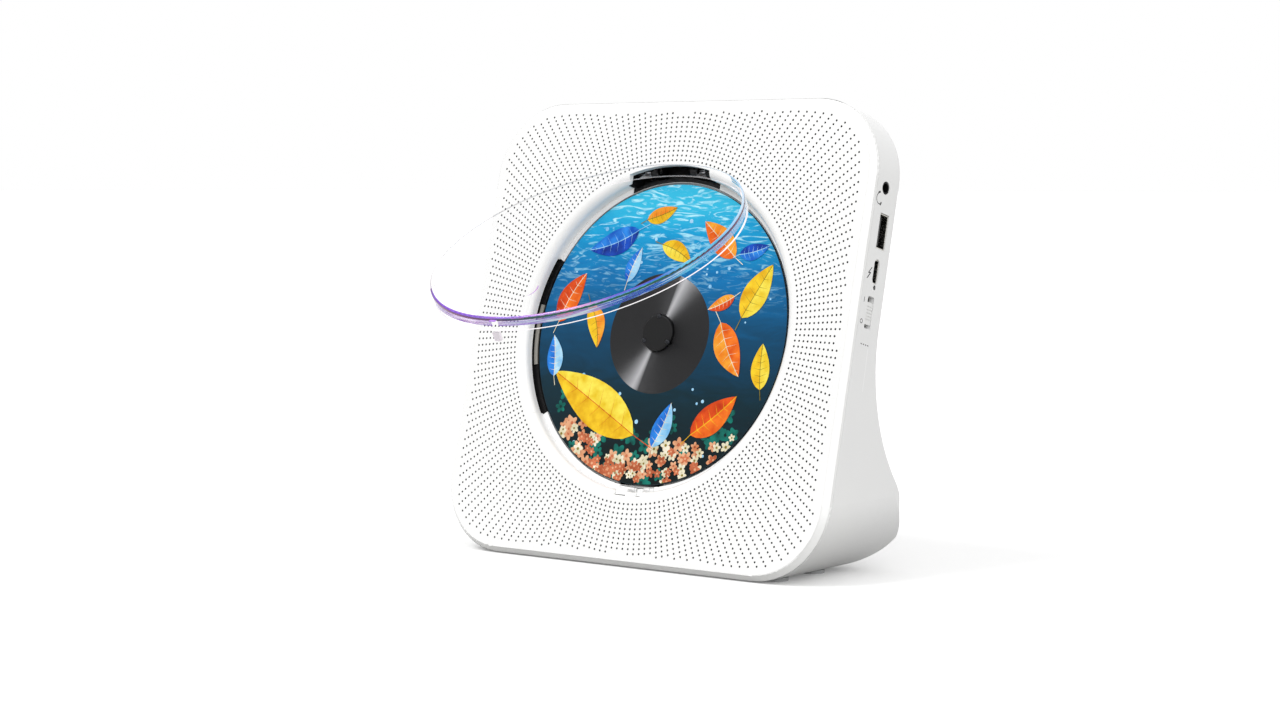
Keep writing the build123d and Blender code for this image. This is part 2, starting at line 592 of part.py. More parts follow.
def rear_cover(shell):
    cover = shell & cover_tool(0)
    for x, v in COVER_POSTS:
        cover -= post(x, v, SCREW_RADIUS + FIT_GAP, RIM_INNER - 1, REACH)
        cover -= post(x, v, HEAD_RADIUS + FIT_GAP, RIM_DEPTH - COVER_RECESS, REACH)
    for x in (-KEYHOLE_X, KEYHOLE_X):
        cover -= post(x, KEYHOLE_V, KEYHOLE_RADIUS, HUMP_INNER - 1, REACH)
        slot = Pos(x, KEYHOLE_V + KEYHOLE_SLOT_LENGTH / 2) * Rectangle(KEYHOLE_SLOT_WIDTH, KEYHOLE_SLOT_LENGTH)
        slot += Pos(x, KEYHOLE_V + KEYHOLE_SLOT_LENGTH) * Circle(KEYHOLE_SLOT_WIDTH / 2)
        cover -= layer(slot, HUMP_INNER - 1, REACH)
    for x, v in MAIN_BOARD_POSTS:
        cover += post(x, v, BOARD_POST_RADIUS, MAIN_BOARD_BACK, HUMP_INNER + WALL / 2)
        cover -= post(x, v, PILOT_RADIUS, MAIN_BOARD_BACK - 1, HUMP_INNER - 1)
    return cover


def housing_screws():
    group = Part()
    for x, v in HOUSING_POSTS:
        group += screw(x, v, HOUSING_POST_END + TAB_THICKNESS, PANEL_PLATE + SCREW_STOP)
    return group


def rear_cover_screws():
    group = Part()
    for x, v in COVER_POSTS:
        group += screw(x, v, RIM_DEPTH - COVER_RECESS, HOUSING_POST_END - 4)
    return group


def foot_pad_places():
    return [(x, y) for x in (-FOOT_PAD_X, FOOT_PAD_X) for y in FOOT_PAD_YS]


def foot_pad_outline(gap):
    x, y = FOOT_PAD_SIZE[0] + 2 * gap, FOOT_PAD_SIZE[1] + 2 * gap
    return RectangleRounded(x, y, y / 2 - 0.1)


def rubber_feet():
    pads = Part()
    for x, y in foot_pad_places():
        pads += Pos(x, y, -FOOT_PAD_PROUD) * extrude(foot_pad_outline(0), amount=FOOT_PAD_THICKNESS)
    return from_world(pads)


# ---------------------------------------------------------------- disc well
def well_dish():
    dish = ring(COLLAR_RADIUS, WELL_RADIUS, LEDGE_DEPTH, LEDGE_DEPTH + LEDGE_THICKNESS)
    dish += ring(WELL_RADIUS + FLOOR_THICKNESS, WELL_RADIUS, LEDGE_DEPTH, FLOOR_BACK)
    dish += ring(WELL_RADIUS + FLOOR_THICKNESS, TURNTABLE_OPENING, WELL_FLOOR, FLOOR_BACK)
    for angle in DISH_EAR_ANGLES:
        x, v = polar(DISH_EAR_ORBIT, angle)
        arm = Rot(0, 0, angle) * Pos((DISH_EAR_ORBIT + COLLAR_RADIUS - 2) / 2, 0) * Rectangle(
            DISH_EAR_ORBIT - COLLAR_RADIUS + 2, 2 * BOSS_RADIUS)
        ear = layer(arm + Pos(x, v) * Circle(BOSS_RADIUS), LEDGE_DEPTH, LEDGE_DEPTH + LEDGE_THICKNESS)
        dish += ear
        dish -= post(x, v, SCREW_RADIUS + FIT_GAP, 0, FLOOR_BACK + 1)
    dish -= block(-LENS_SLOT, LENS_SLOT, LENS_SLOT_END, 0, LEDGE_DEPTH, FLOOR_BACK + 1)
    dish -= post(0, 0, TURNTABLE_OPENING, 0, FLOOR_BACK + 1)
    clear = pocket_room(0, FLOOR_BACK + 1)
    clear += block(KEEPER_LEFT - FIT_GAP, KEEPER_RIGHT + FIT_GAP, -REACH, 0, 0, FLOOR_BACK + 1)
    dish -= clear - post(0, 0, WELL_RADIUS + FIT_GAP / 2, 0, FLOOR_BACK + 2)
    dish -= arc_band(WINDOW_OUTER + FIT_GAP, WELL_RADIUS - FIT_GAP, WINDOW_START_DEG - 0.3,
                     WINDOW_END_DEG + 0.3, 0, WELL_FLOOR)
    for x, v in DAMPER_POINTS:
        dish += post(x, v, BOSS_RADIUS, FLOOR_BACK - 0.2, DAMPER_FRONT)
        dish -= post(x, v, PILOT_RADIUS, FLOOR_BACK + 0.4, DAMPER_FRONT + 1)
    return dish


def well_screws():
    group = Part()
    for angle in DISH_EAR_ANGLES:
        x, v = polar(DISH_EAR_ORBIT, angle)
        group += screw(x, v, LEDGE_DEPTH + LEDGE_THICKNESS, PANEL_PLATE + SCREW_STOP)
    return group


def latch_keeper():
    keeper = block(KEEPER_LEFT, KEEPER_RIGHT, KEEPER_BOTTOM, 0, LEDGE_DEPTH, KEEPER_BACK)
    for left, right in PAD_SPANS:
        tab = block(left + FIT_GAP, right - FIT_GAP, PAD_BOTTOM, 0, PAD_FACE, LEDGE_DEPTH)
        keeper += tab - post(0, 0, COVER_RADIUS + FIT_GAP, 0, LEDGE_DEPTH - PAD_STEP)
    keeper -= post(0, 0, WELL_RADIUS + 2 * FIT_GAP, 0, REACH)
    return keeper - tongue_slot()


def side_window():
    return arc_band(WINDOW_OUTER, WELL_RADIUS + FIT_GAP, WINDOW_START_DEG, WINDOW_END_DEG, LEDGE_DEPTH,
                    WINDOW_BACK)


def window_pad():
    return arc_band(INSERT_OUTER, WELL_RADIUS + FIT_GAP, INSERT_START_DEG, INSERT_END_DEG,
                    LEDGE_DEPTH - INSERT_HEIGHT, LEDGE_DEPTH)


# ---------------------------------------------------------------- hinge and clear cover
def hinge_pocket():
    left, right, top = POCKET_LEFT - POCKET_WALL, POCKET_RIGHT + POCKET_WALL, POCKET_TOP + POCKET_WALL
    tray = block(left, right, 0, top, PANEL_PLATE, POCKET_DEPTH)
    tray -= block(POCKET_LEFT, POCKET_RIGHT, 0, POCKET_TOP, -1, POCKET_DEPTH - POCKET_WALL)
    sill = ring(WELL_RADIUS + FIT_GAP + POCKET_WALL, WELL_RADIUS - 1, LEDGE_DEPTH, POCKET_DEPTH)
    tray += sill & block(left, right, 0, top, LEDGE_DEPTH, POCKET_DEPTH)
    tray -= post(0, 0, WELL_RADIUS + FIT_GAP, -1, REACH)
    tray -= post(0, 0, HOLE_RADIUS, -1, LEDGE_DEPTH)
    for x in hinge_ear_places():
        for left in (x - KNUCKLE_GAP - KNUCKLE_WIDTH, x + EAR_WIDTH + KNUCKLE_GAP):
            knuckle = across(left, left + KNUCKLE_WIDTH, HINGE_HEIGHT, HINGE_DEPTH, Circle(KNUCKLE_RADIUS))
            tray += knuckle
            tray += block(left, left + KNUCKLE_WIDTH, HINGE_HEIGHT - KNUCKLE_RADIUS, HINGE_HEIGHT
                          + KNUCKLE_RADIUS, HINGE_DEPTH, POCKET_DEPTH - POCKET_WALL / 2)
            tray -= across(left - 1, left + KNUCKLE_WIDTH + 1, HINGE_HEIGHT, HINGE_DEPTH, Circle(PIN_RADIUS))
    return tray


def hinge_ear_places():
    return (HINGE_X - EAR_INNER_X - EAR_WIDTH, HINGE_X + EAR_INNER_X)


def hinge_pins():
    pins = Part()
    for x in hinge_ear_places():
        start = x - KNUCKLE_GAP - KNUCKLE_WIDTH
        length = EAR_WIDTH + 2 * (KNUCKLE_GAP + KNUCKLE_WIDTH)
        pins += across(start + 0.2, start + length - 0.2, HINGE_HEIGHT, HINGE_DEPTH, Circle(PIN_RADIUS))
    return pins


def closed_cover():
    cover = post(0, 0, COVER_RADIUS, COVER_FACE, COVER_SKIRT_END)
    rim = [e for e in cover.edges() if e.geom_type == GeomType.CIRCLE and (e @ 0).Z > 0]
    cover = fillet(rim, COVER_PLATE / 2)
    cover -= post(0, 0, COVER_RADIUS - COVER_WALL, COVER_FACE + COVER_PLATE, COVER_SKIRT_END + 1)
    bowl = (DIMPLE_RADIUS ** 2 + DIMPLE_SINK ** 2) / (2 * DIMPLE_SINK)
    cover -= Pos(0, -DIMPLE_OFFSET, -COVER_FACE + bowl - DIMPLE_SINK) * Sphere(bowl)
    for x in hinge_ear_places():
        top = Plane(origin=(x, 0, 0), x_dir=(0, 1, 0), z_dir=(1, 0, 0))
        foot = COVER_RADIUS - EAR_ROOT
        web = make_face(Polyline((foot, -COVER_SKIRT_END), (foot, -COVER_SKIRT_END / 2),
                                 (HINGE_HEIGHT - EAR_NECK[0], EAR_NECK[1] - HINGE_DEPTH),
                                 (HINGE_HEIGHT - EAR_NECK[0] / 2, EAR_NECK[1] * 1.5 - HINGE_DEPTH),
                                 (HINGE_HEIGHT, -HINGE_DEPTH), (HINGE_HEIGHT, -HINGE_DEPTH - KNUCKLE_RADIUS * 0.95),
                                 (COVER_RADIUS - COVER_WALL / 2, -COVER_SKIRT_END), (foot, -COVER_SKIRT_END)))
        cover += extrude(top * web, amount=EAR_WIDTH)
        cover += across(x, x + EAR_WIDTH, HINGE_HEIGHT, HINGE_DEPTH, Circle(KNUCKLE_RADIUS))
        cover -= across(x - 1, x + EAR_WIDTH + 1, HINGE_HEIGHT, HINGE_DEPTH,
                        Circle(PIN_RADIUS + PIN_CLEARANCE))
    tongue = block(TONGUE_X - TONGUE_WIDTH / 2, TONGUE_X + TONGUE_WIDTH / 2, -COVER_RADIUS - TONGUE_THICKNESS,
                   -COVER_RADIUS + COVER_WALL / 2, 0.4, TONGUE_END)
    tongue -= block(-REACH, REACH, -COVER_RADIUS - 0.2, 0, COVER_SKIRT_END, REACH)
    return cover + tongue


def dust_cover():
    axis = Pos(0, HINGE_HEIGHT, -HINGE_DEPTH)
    return axis * Rot(-COVER_OPEN_DEG, 0, 0) * axis.inverse() * closed_cover()


# ---------------------------------------------------------------- disc and spindle
def disc():
    return ring(DISC_RADIUS, DISC_BORE_RADIUS, DISC_DEPTH, DISC_BACK)


def spindle_hub():
    hub = post(0, 0, HUB_RADIUS, DISC_DEPTH - HUB_RISE, TURNTABLE_FRONT)
    rim = [e for e in hub.edges() if e.geom_type == GeomType.CIRCLE and (e @ 0).Z > -DISC_DEPTH]
    hub = fillet(rim, HUB_ROUND)
    hub -= post(0, 0, SHAFT_RADIUS, DISC_DEPTH, REACH)
    for angle in BALL_ANGLES:
        x, v = polar(BALL_ORBIT, angle)
        hub -= Pos(x, v, -BALL_DEPTH) * Sphere(BALL_RADIUS)
    return hub


def hub_balls():
    balls = Part()
    for angle in BALL_ANGLES:
        x, v = polar(BALL_ORBIT, angle)
        balls += Pos(x, v, -BALL_DEPTH) * Sphere(BALL_RADIUS)
    return balls


def turntable():
    return ring(TURNTABLE_RADIUS, SHAFT_RADIUS, TURNTABLE_FRONT, TURNTABLE_BACK)


def turntable_pad():
    return ring(TURNTABLE_RADIUS - 0.4, HUB_RADIUS + 0.6, DISC_BACK, TURNTABLE_FRONT)


def spindle_shaft():
    return post(0, 0, SHAFT_RADIUS, DISC_DEPTH, CHASSIS_DEPTH - 0.4)


def spindle_motor():
    motor = post(0, 0, MOTOR_RADIUS, MOTOR_FRONT, CHASSIS_DEPTH)
    rim = [e for e in motor.edges() if (e @ 0).Z > -MOTOR_FRONT - 0.01]
    motor = fillet(rim, 0.8)
    return motor - post(0, 0, SHAFT_RADIUS + PIN_CLEARANCE, 0, CHASSIS_DEPTH - 0.3)


# ---------------------------------------------------------------- drive chassis, sled and gears
def toothed(teeth, bore, near, far, turn_deg=0.0):
    """A spur gear with straight-flanked teeth, cut thin by the backlash."""
    pitch = GEAR_MODULE * teeth / 2
    outline_points = []
    for i in range(teeth):
        for radius, half in tooth_flank(pitch):
            angle = math.radians(turn_deg) + 2 * math.pi * i / teeth - half / radius
            outline_points.append((radius * math.cos(angle), radius * math.sin(angle)))
        for radius, half in reversed(tooth_flank(pitch)):
            angle = math.radians(turn_deg) + 2 * math.pi * i / teeth + half / radius
            outline_points.append((radius * math.cos(angle), radius * math.sin(angle)))
    face = make_face(Polyline(*outline_points, outline_points[0]))
    return layer(face - Circle(bore) if bore else face, near, far)


def tooth_flank(pitch):
    """(radius, half thickness) at the root and the tip of a tooth."""
    half = (math.pi * GEAR_MODULE / 2 - GEAR_BACKLASH) / 2
    slope = math.tan(math.radians(20))
    return [(pitch - DEDENDUM, half + DEDENDUM * slope), (pitch + ADDENDUM, half - ADDENDUM * slope)]


def gear_turn():
    """Turn of the big gear that puts a tooth space opposite a rack tooth."""
    return 180.0 + 180.0 / GEAR_TEETH


def sled_gear():
    gear = Pos(GEAR_X, GEAR_V) * toothed(GEAR_TEETH, GEAR_PIN_RADIUS + PIN_CLEARANCE, GEAR_FRONT,
                                         GEAR_FRONT + GEAR_WIDTH, gear_turn())
    return gear


def sled_pinion():
    """Its tooth space faces the gear's tooth along the line of centres."""
    tooth = 360.0 / GEAR_TEETH
    lead = (PINION_ANGLE_DEG - gear_turn()) % tooth
    lag = (tooth - lead if lead > 0 else 0) * GEAR_TEETH / PINION_TEETH
    turn = PINION_ANGLE_DEG + 180 + 180.0 / PINION_TEETH - lag
    pinion = Pos(PINION_X, PINION_V) * toothed(PINION_TEETH, 0, GEAR_FRONT, GEAR_FRONT + GEAR_WIDTH, turn)
    return pinion + post(PINION_X, PINION_V, PINION_SHAFT_RADIUS, GEAR_FRONT, CHASSIS_BACK + 4)


def sled_motor():
    motor = post(PINION_X, PINION_V, SLED_MOTOR_RADIUS, CHASSIS_BACK, CHASSIS_BACK + SLED_MOTOR_LENGTH)
    return motor - post(PINION_X, PINION_V, PINION_SHAFT_RADIUS + PIN_CLEARANCE, 0, CHASSIS_BACK + 4.2)


def drive_chassis():
    width, height = 2 * CHASSIS_HALF_WIDTH, CHASSIS_TOP - CHASSIS_BOTTOM
    plate = Pos(0, (CHASSIS_TOP + CHASSIS_BOTTOM) / 2) * RectangleRounded(width, height, 8)
    chassis = layer(plate, CHASSIS_DEPTH, CHASSIS_BACK)
    chassis -= block(-SLED_WINDOW, SLED_WINDOW, ROD_BOTTOM, ROD_TOP - 3, 0, REACH)
    for x in (-ROD_X, ROD_X):
        for end in (ROD_BOTTOM, ROD_TOP):
            chassis += block(x - ROD_HOLDER, x + ROD_HOLDER, end - ROD_SEAT, end + ROD_SEAT,
                             ROD_DEPTH - ROD_RADIUS - 0.9, CHASSIS_DEPTH)
        chassis -= Pos(x, 0, -ROD_DEPTH) * Rot(90, 0, 0) * Cylinder(ROD_RADIUS, REACH)
    for x, v in DAMPER_POINTS:
        chassis -= post(x, v, DAMPER_NECK, 0, REACH)
    chassis += post(GEAR_X, GEAR_V, GEAR_PIN_RADIUS, GEAR_FRONT - 0.4, CHASSIS_DEPTH)
    chassis += post(GEAR_X, GEAR_V, GEAR_PIN_RADIUS + 1, GEAR_FRONT + GEAR_WIDTH + 0.1, CHASSIS_DEPTH)
    chassis -= post(PINION_X, PINION_V, PINION_RADIUS + 1.2, 0, REACH)
    return chassis


def chassis_dampers():
    dampers = Part()
    for x, v in DAMPER_POINTS:
        dampers += post(x, v, DAMPER_RADIUS, DAMPER_FRONT, CHASSIS_DEPTH)
        dampers += post(x, v, DAMPER_NECK, CHASSIS_DEPTH, CHASSIS_BACK)
        dampers += post(x, v, DAMPER_RADIUS, CHASSIS_BACK, DAMPER_BACK)
        dampers -= post(x, v, DAMPER_BORE, 0, REACH)
    return dampers


def chassis_screws():
    group = Part()
    for x, v in DAMPER_POINTS:
        group += screw(x, v, DAMPER_BACK, FLOOR_BACK + 1)
    return group


def guide_rods():
    length = ROD_TOP - ROD_BOTTOM
    rods = Part()
    for x in (-ROD_X, ROD_X):
        rods += Pos(x, (ROD_TOP + ROD_BOTTOM) / 2, -ROD_DEPTH) * Rot(90, 0, 0) * Cylinder(ROD_RADIUS, length + 4)
    return rods


def pickup_sled():
    bottom, top = LENS_V - SLED_HALF_LENGTH, LENS_V + SLED_HALF_LENGTH
    rack_x = ROD_X + ROD_HOLDER + FIT_GAP
    wing = rack_x + FIT_GAP
    sled = block(-wing, wing, bottom, top, SLED_FRONT, CHASSIS_DEPTH - FIT_GAP)
    sled += block(-SLED_WINDOW + 1, SLED_WINDOW - 1, bottom, top, SLED_FRONT, SLED_BACK)
    for x in (-ROD_X, ROD_X):
        sled -= Pos(x, 0, -ROD_DEPTH) * Rot(90, 0, 0) * Cylinder(ROD_RADIUS + PIN_CLEARANCE, REACH)
    pitch = math.pi * GEAR_MODULE
    count = round((SLED_TRAVEL + 2 * RACK_REACH) / pitch)
    start = GEAR_V - math.floor(RACK_REACH / pitch) * pitch
    half = (pitch / 2 - GEAR_BACKLASH) / 2
    slope = math.tan(math.radians(20))
    root_x, tip_x = RACK_PITCH_X - DEDENDUM, RACK_PITCH_X + ADDENDUM
    sled += block(rack_x, root_x, start - pitch, start + count * pitch, GEAR_FRONT, GEAR_FRONT + GEAR_WIDTH)
    tooth = make_face(Polyline((root_x - 0.2, half + DEDENDUM * slope), (root_x, half + DEDENDUM * slope),
                               (tip_x, half - ADDENDUM * slope), (tip_x, -half + ADDENDUM * slope),
                               (root_x, -half - DEDENDUM * slope), (root_x - 0.2, -half - DEDENDUM * slope),
                               (root_x - 0.2, half + DEDENDUM * slope)))
    teeth = Sketch() + [Pos(0, start + i * pitch) * tooth for i in range(count)]
    sled += layer(teeth, GEAR_FRONT, GEAR_FRONT + GEAR_WIDTH)
    return sled


def objective_lens():
    lens = post(0, LENS_V, LENS_RADIUS, SLED_FRONT - 2.2, SLED_FRONT)
    return fillet([e for e in lens.edges() if (e @ 0).Z > -SLED_FRONT + 2], 0.5)


# ---------------------------------------------------------------- side connectors
def port_openings():
    """(sketch, v, depth) of each opening in the right wall."""
    jack = Circle(JACK_NOSE_RADIUS + FIT_GAP)
    around = 2 * (SHELL_WALL + FIT_GAP)
    usb_a = Rectangle(USB_A_OPENING[0] + around, USB_A_OPENING[1] + around)
    usb_c = SlotOverall(USB_C_OPENING[0] + around, USB_C_OPENING[1] + around)
    return [(jack, JACK_V, JACK_DEPTH), (usb_a, USB_A_V, USB_A_DEPTH), (usb_c, USB_C_V, USB_C_DEPTH),
            (Circle(LED_RADIUS + FIT_GAP / 2), LED_V, LED_DEPTH),
            (RectangleRounded(*SWITCH_SLOT, 0.8), SWITCH_V, SWITCH_DEPTH)]


def port_board():
    return block(PORT_BOARD_INNER, INNER_HALF - 1, *PORT_BOARD_SPAN, PORT_BOARD_DEPTH,
                 PORT_BOARD_DEPTH + BOARD_THICKNESS)


def audio_jack():
    body_end = INNER_HALF - 0.3
    jack = block(body_end - JACK_LENGTH, body_end, JACK_V - 3, JACK_V + 3, JACK_DEPTH - 2.6, PORT_BOARD_DEPTH)
    jack += across(body_end - 1, PANEL_HALF - 0.2, JACK_V, JACK_DEPTH, Circle(JACK_NOSE_RADIUS))
    return jack - across(body_end - JACK_LENGTH + 1, PANEL_HALF, JACK_V, JACK_DEPTH, Circle(JACK_BORE_RADIUS))


def usb_a_socket():
    wide, tall = USB_A_OPENING
    shell = Rectangle(wide + 2 * SHELL_WALL, tall + 2 * SHELL_WALL)
    socket = across(CONNECTOR_INNER, PANEL_HALF - 0.4, USB_A_V, USB_A_DEPTH, shell)
    socket -= across(CONNECTOR_INNER + 1, PANEL_HALF, USB_A_V, USB_A_DEPTH, Rectangle(wide, tall))
    tongue = Pos(0, 0.9) * Rectangle(wide - 1.6, 1.8)
    socket += across(CONNECTOR_INNER + 0.5, PANEL_HALF - 1.4, USB_A_V, USB_A_DEPTH, tongue)
    foot_end = USB_A_DEPTH + tall / 2
    return socket + block(CONNECTOR_INNER, CONNECTOR_INNER + 9, USB_A_V - wide / 2, USB_A_V + wide / 2,
                          foot_end, PORT_BOARD_DEPTH)


def usb_c_socket():
    wide, tall = USB_C_OPENING
    start = CONNECTOR_INNER + 4
    socket = across(start, PANEL_HALF - 0.4, USB_C_V, USB_C_DEPTH,
                    SlotOverall(wide + 2 * SHELL_WALL, tall + 2 * SHELL_WALL))
    socket -= across(start + 1, PANEL_HALF, USB_C_V, USB_C_DEPTH, SlotOverall(wide, tall))
    socket += across(start + 0.5, PANEL_HALF - 1.2, USB_C_V, USB_C_DEPTH, Rectangle(wide - 2.2, 0.7))
    return socket + block(start, start + 5, USB_C_V - wide / 2, USB_C_V + wide / 2, USB_C_DEPTH + tall / 2,
                          PORT_BOARD_DEPTH)


def status_light():
    light = across(INNER_HALF - 6, PANEL_HALF - 0.1, LED_V, LED_DEPTH, Circle(LED_RADIUS))
    return light + block(INNER_HALF - 6, INNER_HALF - 3, LED_V - 1.2, LED_V + 1.2, LED_DEPTH - 1, PORT_BOARD_DEPTH)


def switch_body():
    case = block(CONNECTOR_INNER, INNER_HALF - 0.6, SWITCH_V - 6.3, SWITCH_V + 6.3, SWITCH_DEPTH - 2.8,
                 PORT_BOARD_DEPTH)
    track = KNOB_STEM_LENGTH / 2 + max(SWITCH_SLOT[0] - KNOB_SIZE[0], 0) / 2 + 0.6
    return case - across(INNER_HALF - 5, PANEL_HALF, SWITCH_V, SWITCH_DEPTH,
                         Rectangle(2 * track, KNOB_STEM_WIDTH + 2 * FIT_GAP))


def switch_knob():
    stem = Rectangle(KNOB_STEM_LENGTH, KNOB_STEM_WIDTH)
    knob = across(INNER_HALF - 4.6, INNER_HALF, KNOB_REST_V, SWITCH_DEPTH, stem)
    knob += across(INNER_HALF - 0.3, PANEL_HALF + KNOB_PROUD, KNOB_REST_V, SWITCH_DEPTH,
                   RectangleRounded(*KNOB_SIZE, 0.6))
    for i in range(-2, 3):
        knob -= across(PANEL_HALF + KNOB_PROUD - 0.3, PANEL_HALF + 2, KNOB_REST_V + i * 1.2, SWITCH_DEPTH,
                       Rectangle(0.45, KNOB_SIZE[1] + 1))
    return knob


# ---------------------------------------------------------------- boards and buttons
def main_board():
    left, right = -MAIN_BOARD_HALF_WIDTH, MAIN_BOARD_HALF_WIDTH
    board = block(left, right, MAIN_BOARD_BOTTOM, MAIN_BOARD_TOP, MAIN_BOARD_DEPTH, MAIN_BOARD_BACK)
    for x, v in MAIN_BOARD_POSTS:
        board -= post(x, v, SCREW_RADIUS + FIT_GAP, 0, REACH)
    front = MAIN_BOARD_DEPTH
    for x, v, wide, high, tall in BOARD_CHIPS:
        board += block(x - wide / 2, x + wide / 2, v - high / 2, v + high / 2, front - tall, front)
    return board


def shield_can():
    x, v, wide, high, rise = SHIELD
    left, right, bottom, top = x - wide / 2, x + wide / 2, v - high / 2, v + high / 2
    can = block(left, right, bottom, top, MAIN_BOARD_DEPTH - rise, MAIN_BOARD_DEPTH)
    return can - block(left + SHIELD_WALL, right - SHIELD_WALL, bottom + SHIELD_WALL, top - SHIELD_WALL,
                       MAIN_BOARD_DEPTH - rise + SHIELD_WALL, MAIN_BOARD_DEPTH + 1)


def board_screws():
    group = Part()
    for x, v in MAIN_BOARD_POSTS:
        group += screw(x, v, MAIN_BOARD_DEPTH, MAIN_BOARD_BACK + 5, direction=-1)
    return group


def button_places():
    middle = (BUTTON_COUNT - 1) / 2
    return [(i - middle) * BUTTON_PITCH for i in range(BUTTON_COUNT)]


def button(x):
    wide, deep = BUTTON_SIZE
    cap = upright(INNER_HALF - 1, PANEL_HALF + BUTTON_PROUD, x, BUTTON_DEPTH, SlotOverall(wide, deep))
    rim = [e for e in cap.edges() if abs((e @ 0.5).Y - PANEL_HALF - BUTTON_PROUD) < 0.01]
    cap = fillet(rim, 0.4)
    cap += upright(INNER_HALF - BUTTON_FLANGE - 0.1, INNER_HALF - 0.1, x, BUTTON_DEPTH,
                   RectangleRounded(wide + 3, deep + 2.4, 1))
    stem_end = BUTTON_BOARD_V + TACT_HEIGHT + BUTTON_GAP
    return cap + upright(stem_end, INNER_HALF - BUTTON_FLANGE, x, BUTTON_DEPTH, Circle(1.5))


def button_board():
    board = block(-BUTTON_BOARD_HALF, BUTTON_BOARD_HALF, BUTTON_BOARD_V - BOARD_THICKNESS, BUTTON_BOARD_V,
                  BUTTON_DEPTH - BUTTON_BOARD_REACH, RIM_INNER - 0.4)
    for x in button_places():
        board += block(x - TACT_SIZE / 2, x + TACT_SIZE / 2, BUTTON_BOARD_V, BUTTON_BOARD_V + TACT_HEIGHT - 0.8,
                       BUTTON_DEPTH - TACT_SIZE / 2, BUTTON_DEPTH + TACT_SIZE / 2)
        board += upright(BUTTON_BOARD_V + TACT_HEIGHT - 0.8, BUTTON_BOARD_V + TACT_HEIGHT, x, BUTTON_DEPTH,
                         Circle(1.7))
    return board


# ---------------------------------------------------------------- speakers
def speaker_cloth():
    cloth = lean_body(WALL + LIP_WALL + 2 * FIT_GAP, -WALL)
    cloth &= block(-REACH, REACH, -REACH, REACH, PANEL_PLATE, CLOTH_BACK)
    cloth -= post(0, 0, COLLAR_RADIUS + FIT_GAP, 0, REACH)
    points = [polar(DISH_EAR_ORBIT, a) for a in DISH_EAR_ANGLES]
    for x, v in HOUSING_POSTS + COVER_POSTS + points:
        cloth -= post(x, v, BOSS_RADIUS + FIT_GAP, 0, REACH)
    cloth -= pocket_room(0, REACH)
    cloth -= block(KEEPER_LEFT - FIT_GAP, KEEPER_RIGHT + FIT_GAP, KEEPER_BOTTOM - FIT_GAP, 0, 0, REACH)
    return cloth


def speaker_frame(side):
    frame = post(0, 0, SPEAKER_RADIUS, CLOTH_BACK, CLOTH_BACK + 1.5)
    cup = Plane.XZ * make_face(Polyline((0, -CLOTH_BACK - 1), (SPEAKER_RADIUS - 1, -CLOTH_BACK - 1),
                                        (SPEAKER_RADIUS - 4, -12), (MAGNET_RADIUS + 1, -BASKET_BACK),
                                        (0, -BASKET_BACK), (0, -CLOTH_BACK - 1)))
    frame += revolve(cup, Axis.Z)
    frame -= post(0, 0, CONE_RADIUS + 1.2, 0, CLOTH_BACK + 1.5)
    inner = Plane.XZ * make_face(Polyline((0, -CLOTH_BACK), (CONE_RADIUS + 1.2, -CLOTH_BACK),
                                          (CONE_RADIUS + 1.2, -CLOTH_BACK - 2.2),
                                          (SPEAKER_RADIUS - 5.4, -12), (MAGNET_RADIUS - 1, -BASKET_BACK + 1.4),
                                          (0, -BASKET_BACK + 1.4), (0, -CLOTH_BACK)))
    frame -= revolve(inner, Axis.Z)
    for i in range(4):
        window = Rot(0, 0, 45 + 90 * i) * block(MAGNET_RADIUS + 1.5, SPEAKER_RADIUS, -5.5, 5.5, 6.5, 12)
        frame -= window
    return Pos(side * SPEAKER_X, SPEAKER_V) * frame


def speaker_cone(side):
    """Cone with its half-round surround and dust cap, one thin shell."""
    front = CLOTH_BACK + 1.5
    roll = 1.0
    cone = Plane.XZ * make_face(Polyline((0, -front - 3.0), (5.5, -front - 3.6), (CONE_RADIUS - 2, -front - 0.6),
                                         (CONE_RADIUS - roll, -front + 0.6), (CONE_RADIUS + 1.2, -front),
                                         (CONE_RADIUS + 1.2, -front - 0.5), (CONE_RADIUS - roll, -front + 0.1),
                                         (CONE_RADIUS - 2, -front - 1.2), (5.5, -front - 4.4),
                                         (5.5, -BASKET_BACK + 1.4), (4.7, -BASKET_BACK + 1.4),
                                         (4.7, -front - 4.2), (0, -front - 3.7), (0, -front - 3.0)))
    return Pos(side * SPEAKER_X, SPEAKER_V) * revolve(cone, Axis.Z)


def speaker_magnet(side):
    magnet = post(0, 0, MAGNET_RADIUS, BASKET_BACK, SPEAKER_DEPTH)
    rim = [e for e in magnet.edges() if e.geom_type == GeomType.CIRCLE]
    return Pos(side * SPEAKER_X, SPEAKER_V) * chamfer(rim, 0.6)


# ---------------------------------------------------------------- battery
def cell_axis_x(side):
    return side * (CELL_GAP + CELL_LENGTH) / 2


def battery_cell(side):
    cell = Pos(cell_axis_x(side), CELL_Y, CELL_Z) * Rot(0, 90, 0) * Cylinder(CELL_RADIUS, CELL_LENGTH)
    cell = fillet(cell.edges(), 0.8)
    button_end = Pos(cell_axis_x(side) + side * (CELL_LENGTH / 2 + 0.4), CELL_Y, CELL_Z)
    return from_world(cell + button_end * Rot(0, 90, 0) * Cylinder(2.8, 0.8))


def battery_cradle():
    half = CELL_LENGTH + CELL_GAP / 2 + 2.8
    height = CELL_Z - 3.0
    cradle = Pos(0, CELL_Y, (WALL + height) / 2) * Box(2 * half, 2 * CELL_RADIUS, height - WALL)
    for side in (-1, 1):
        bay = Pos(cell_axis_x(side) + side * 0.5, CELL_Y, CELL_Z) * Rot(0, 90, 0)
        cradle -= bay * Cylinder(CELL_RADIUS, CELL_LENGTH + 1)
    return from_world(cradle) & lean_body(WALL, -WALL)


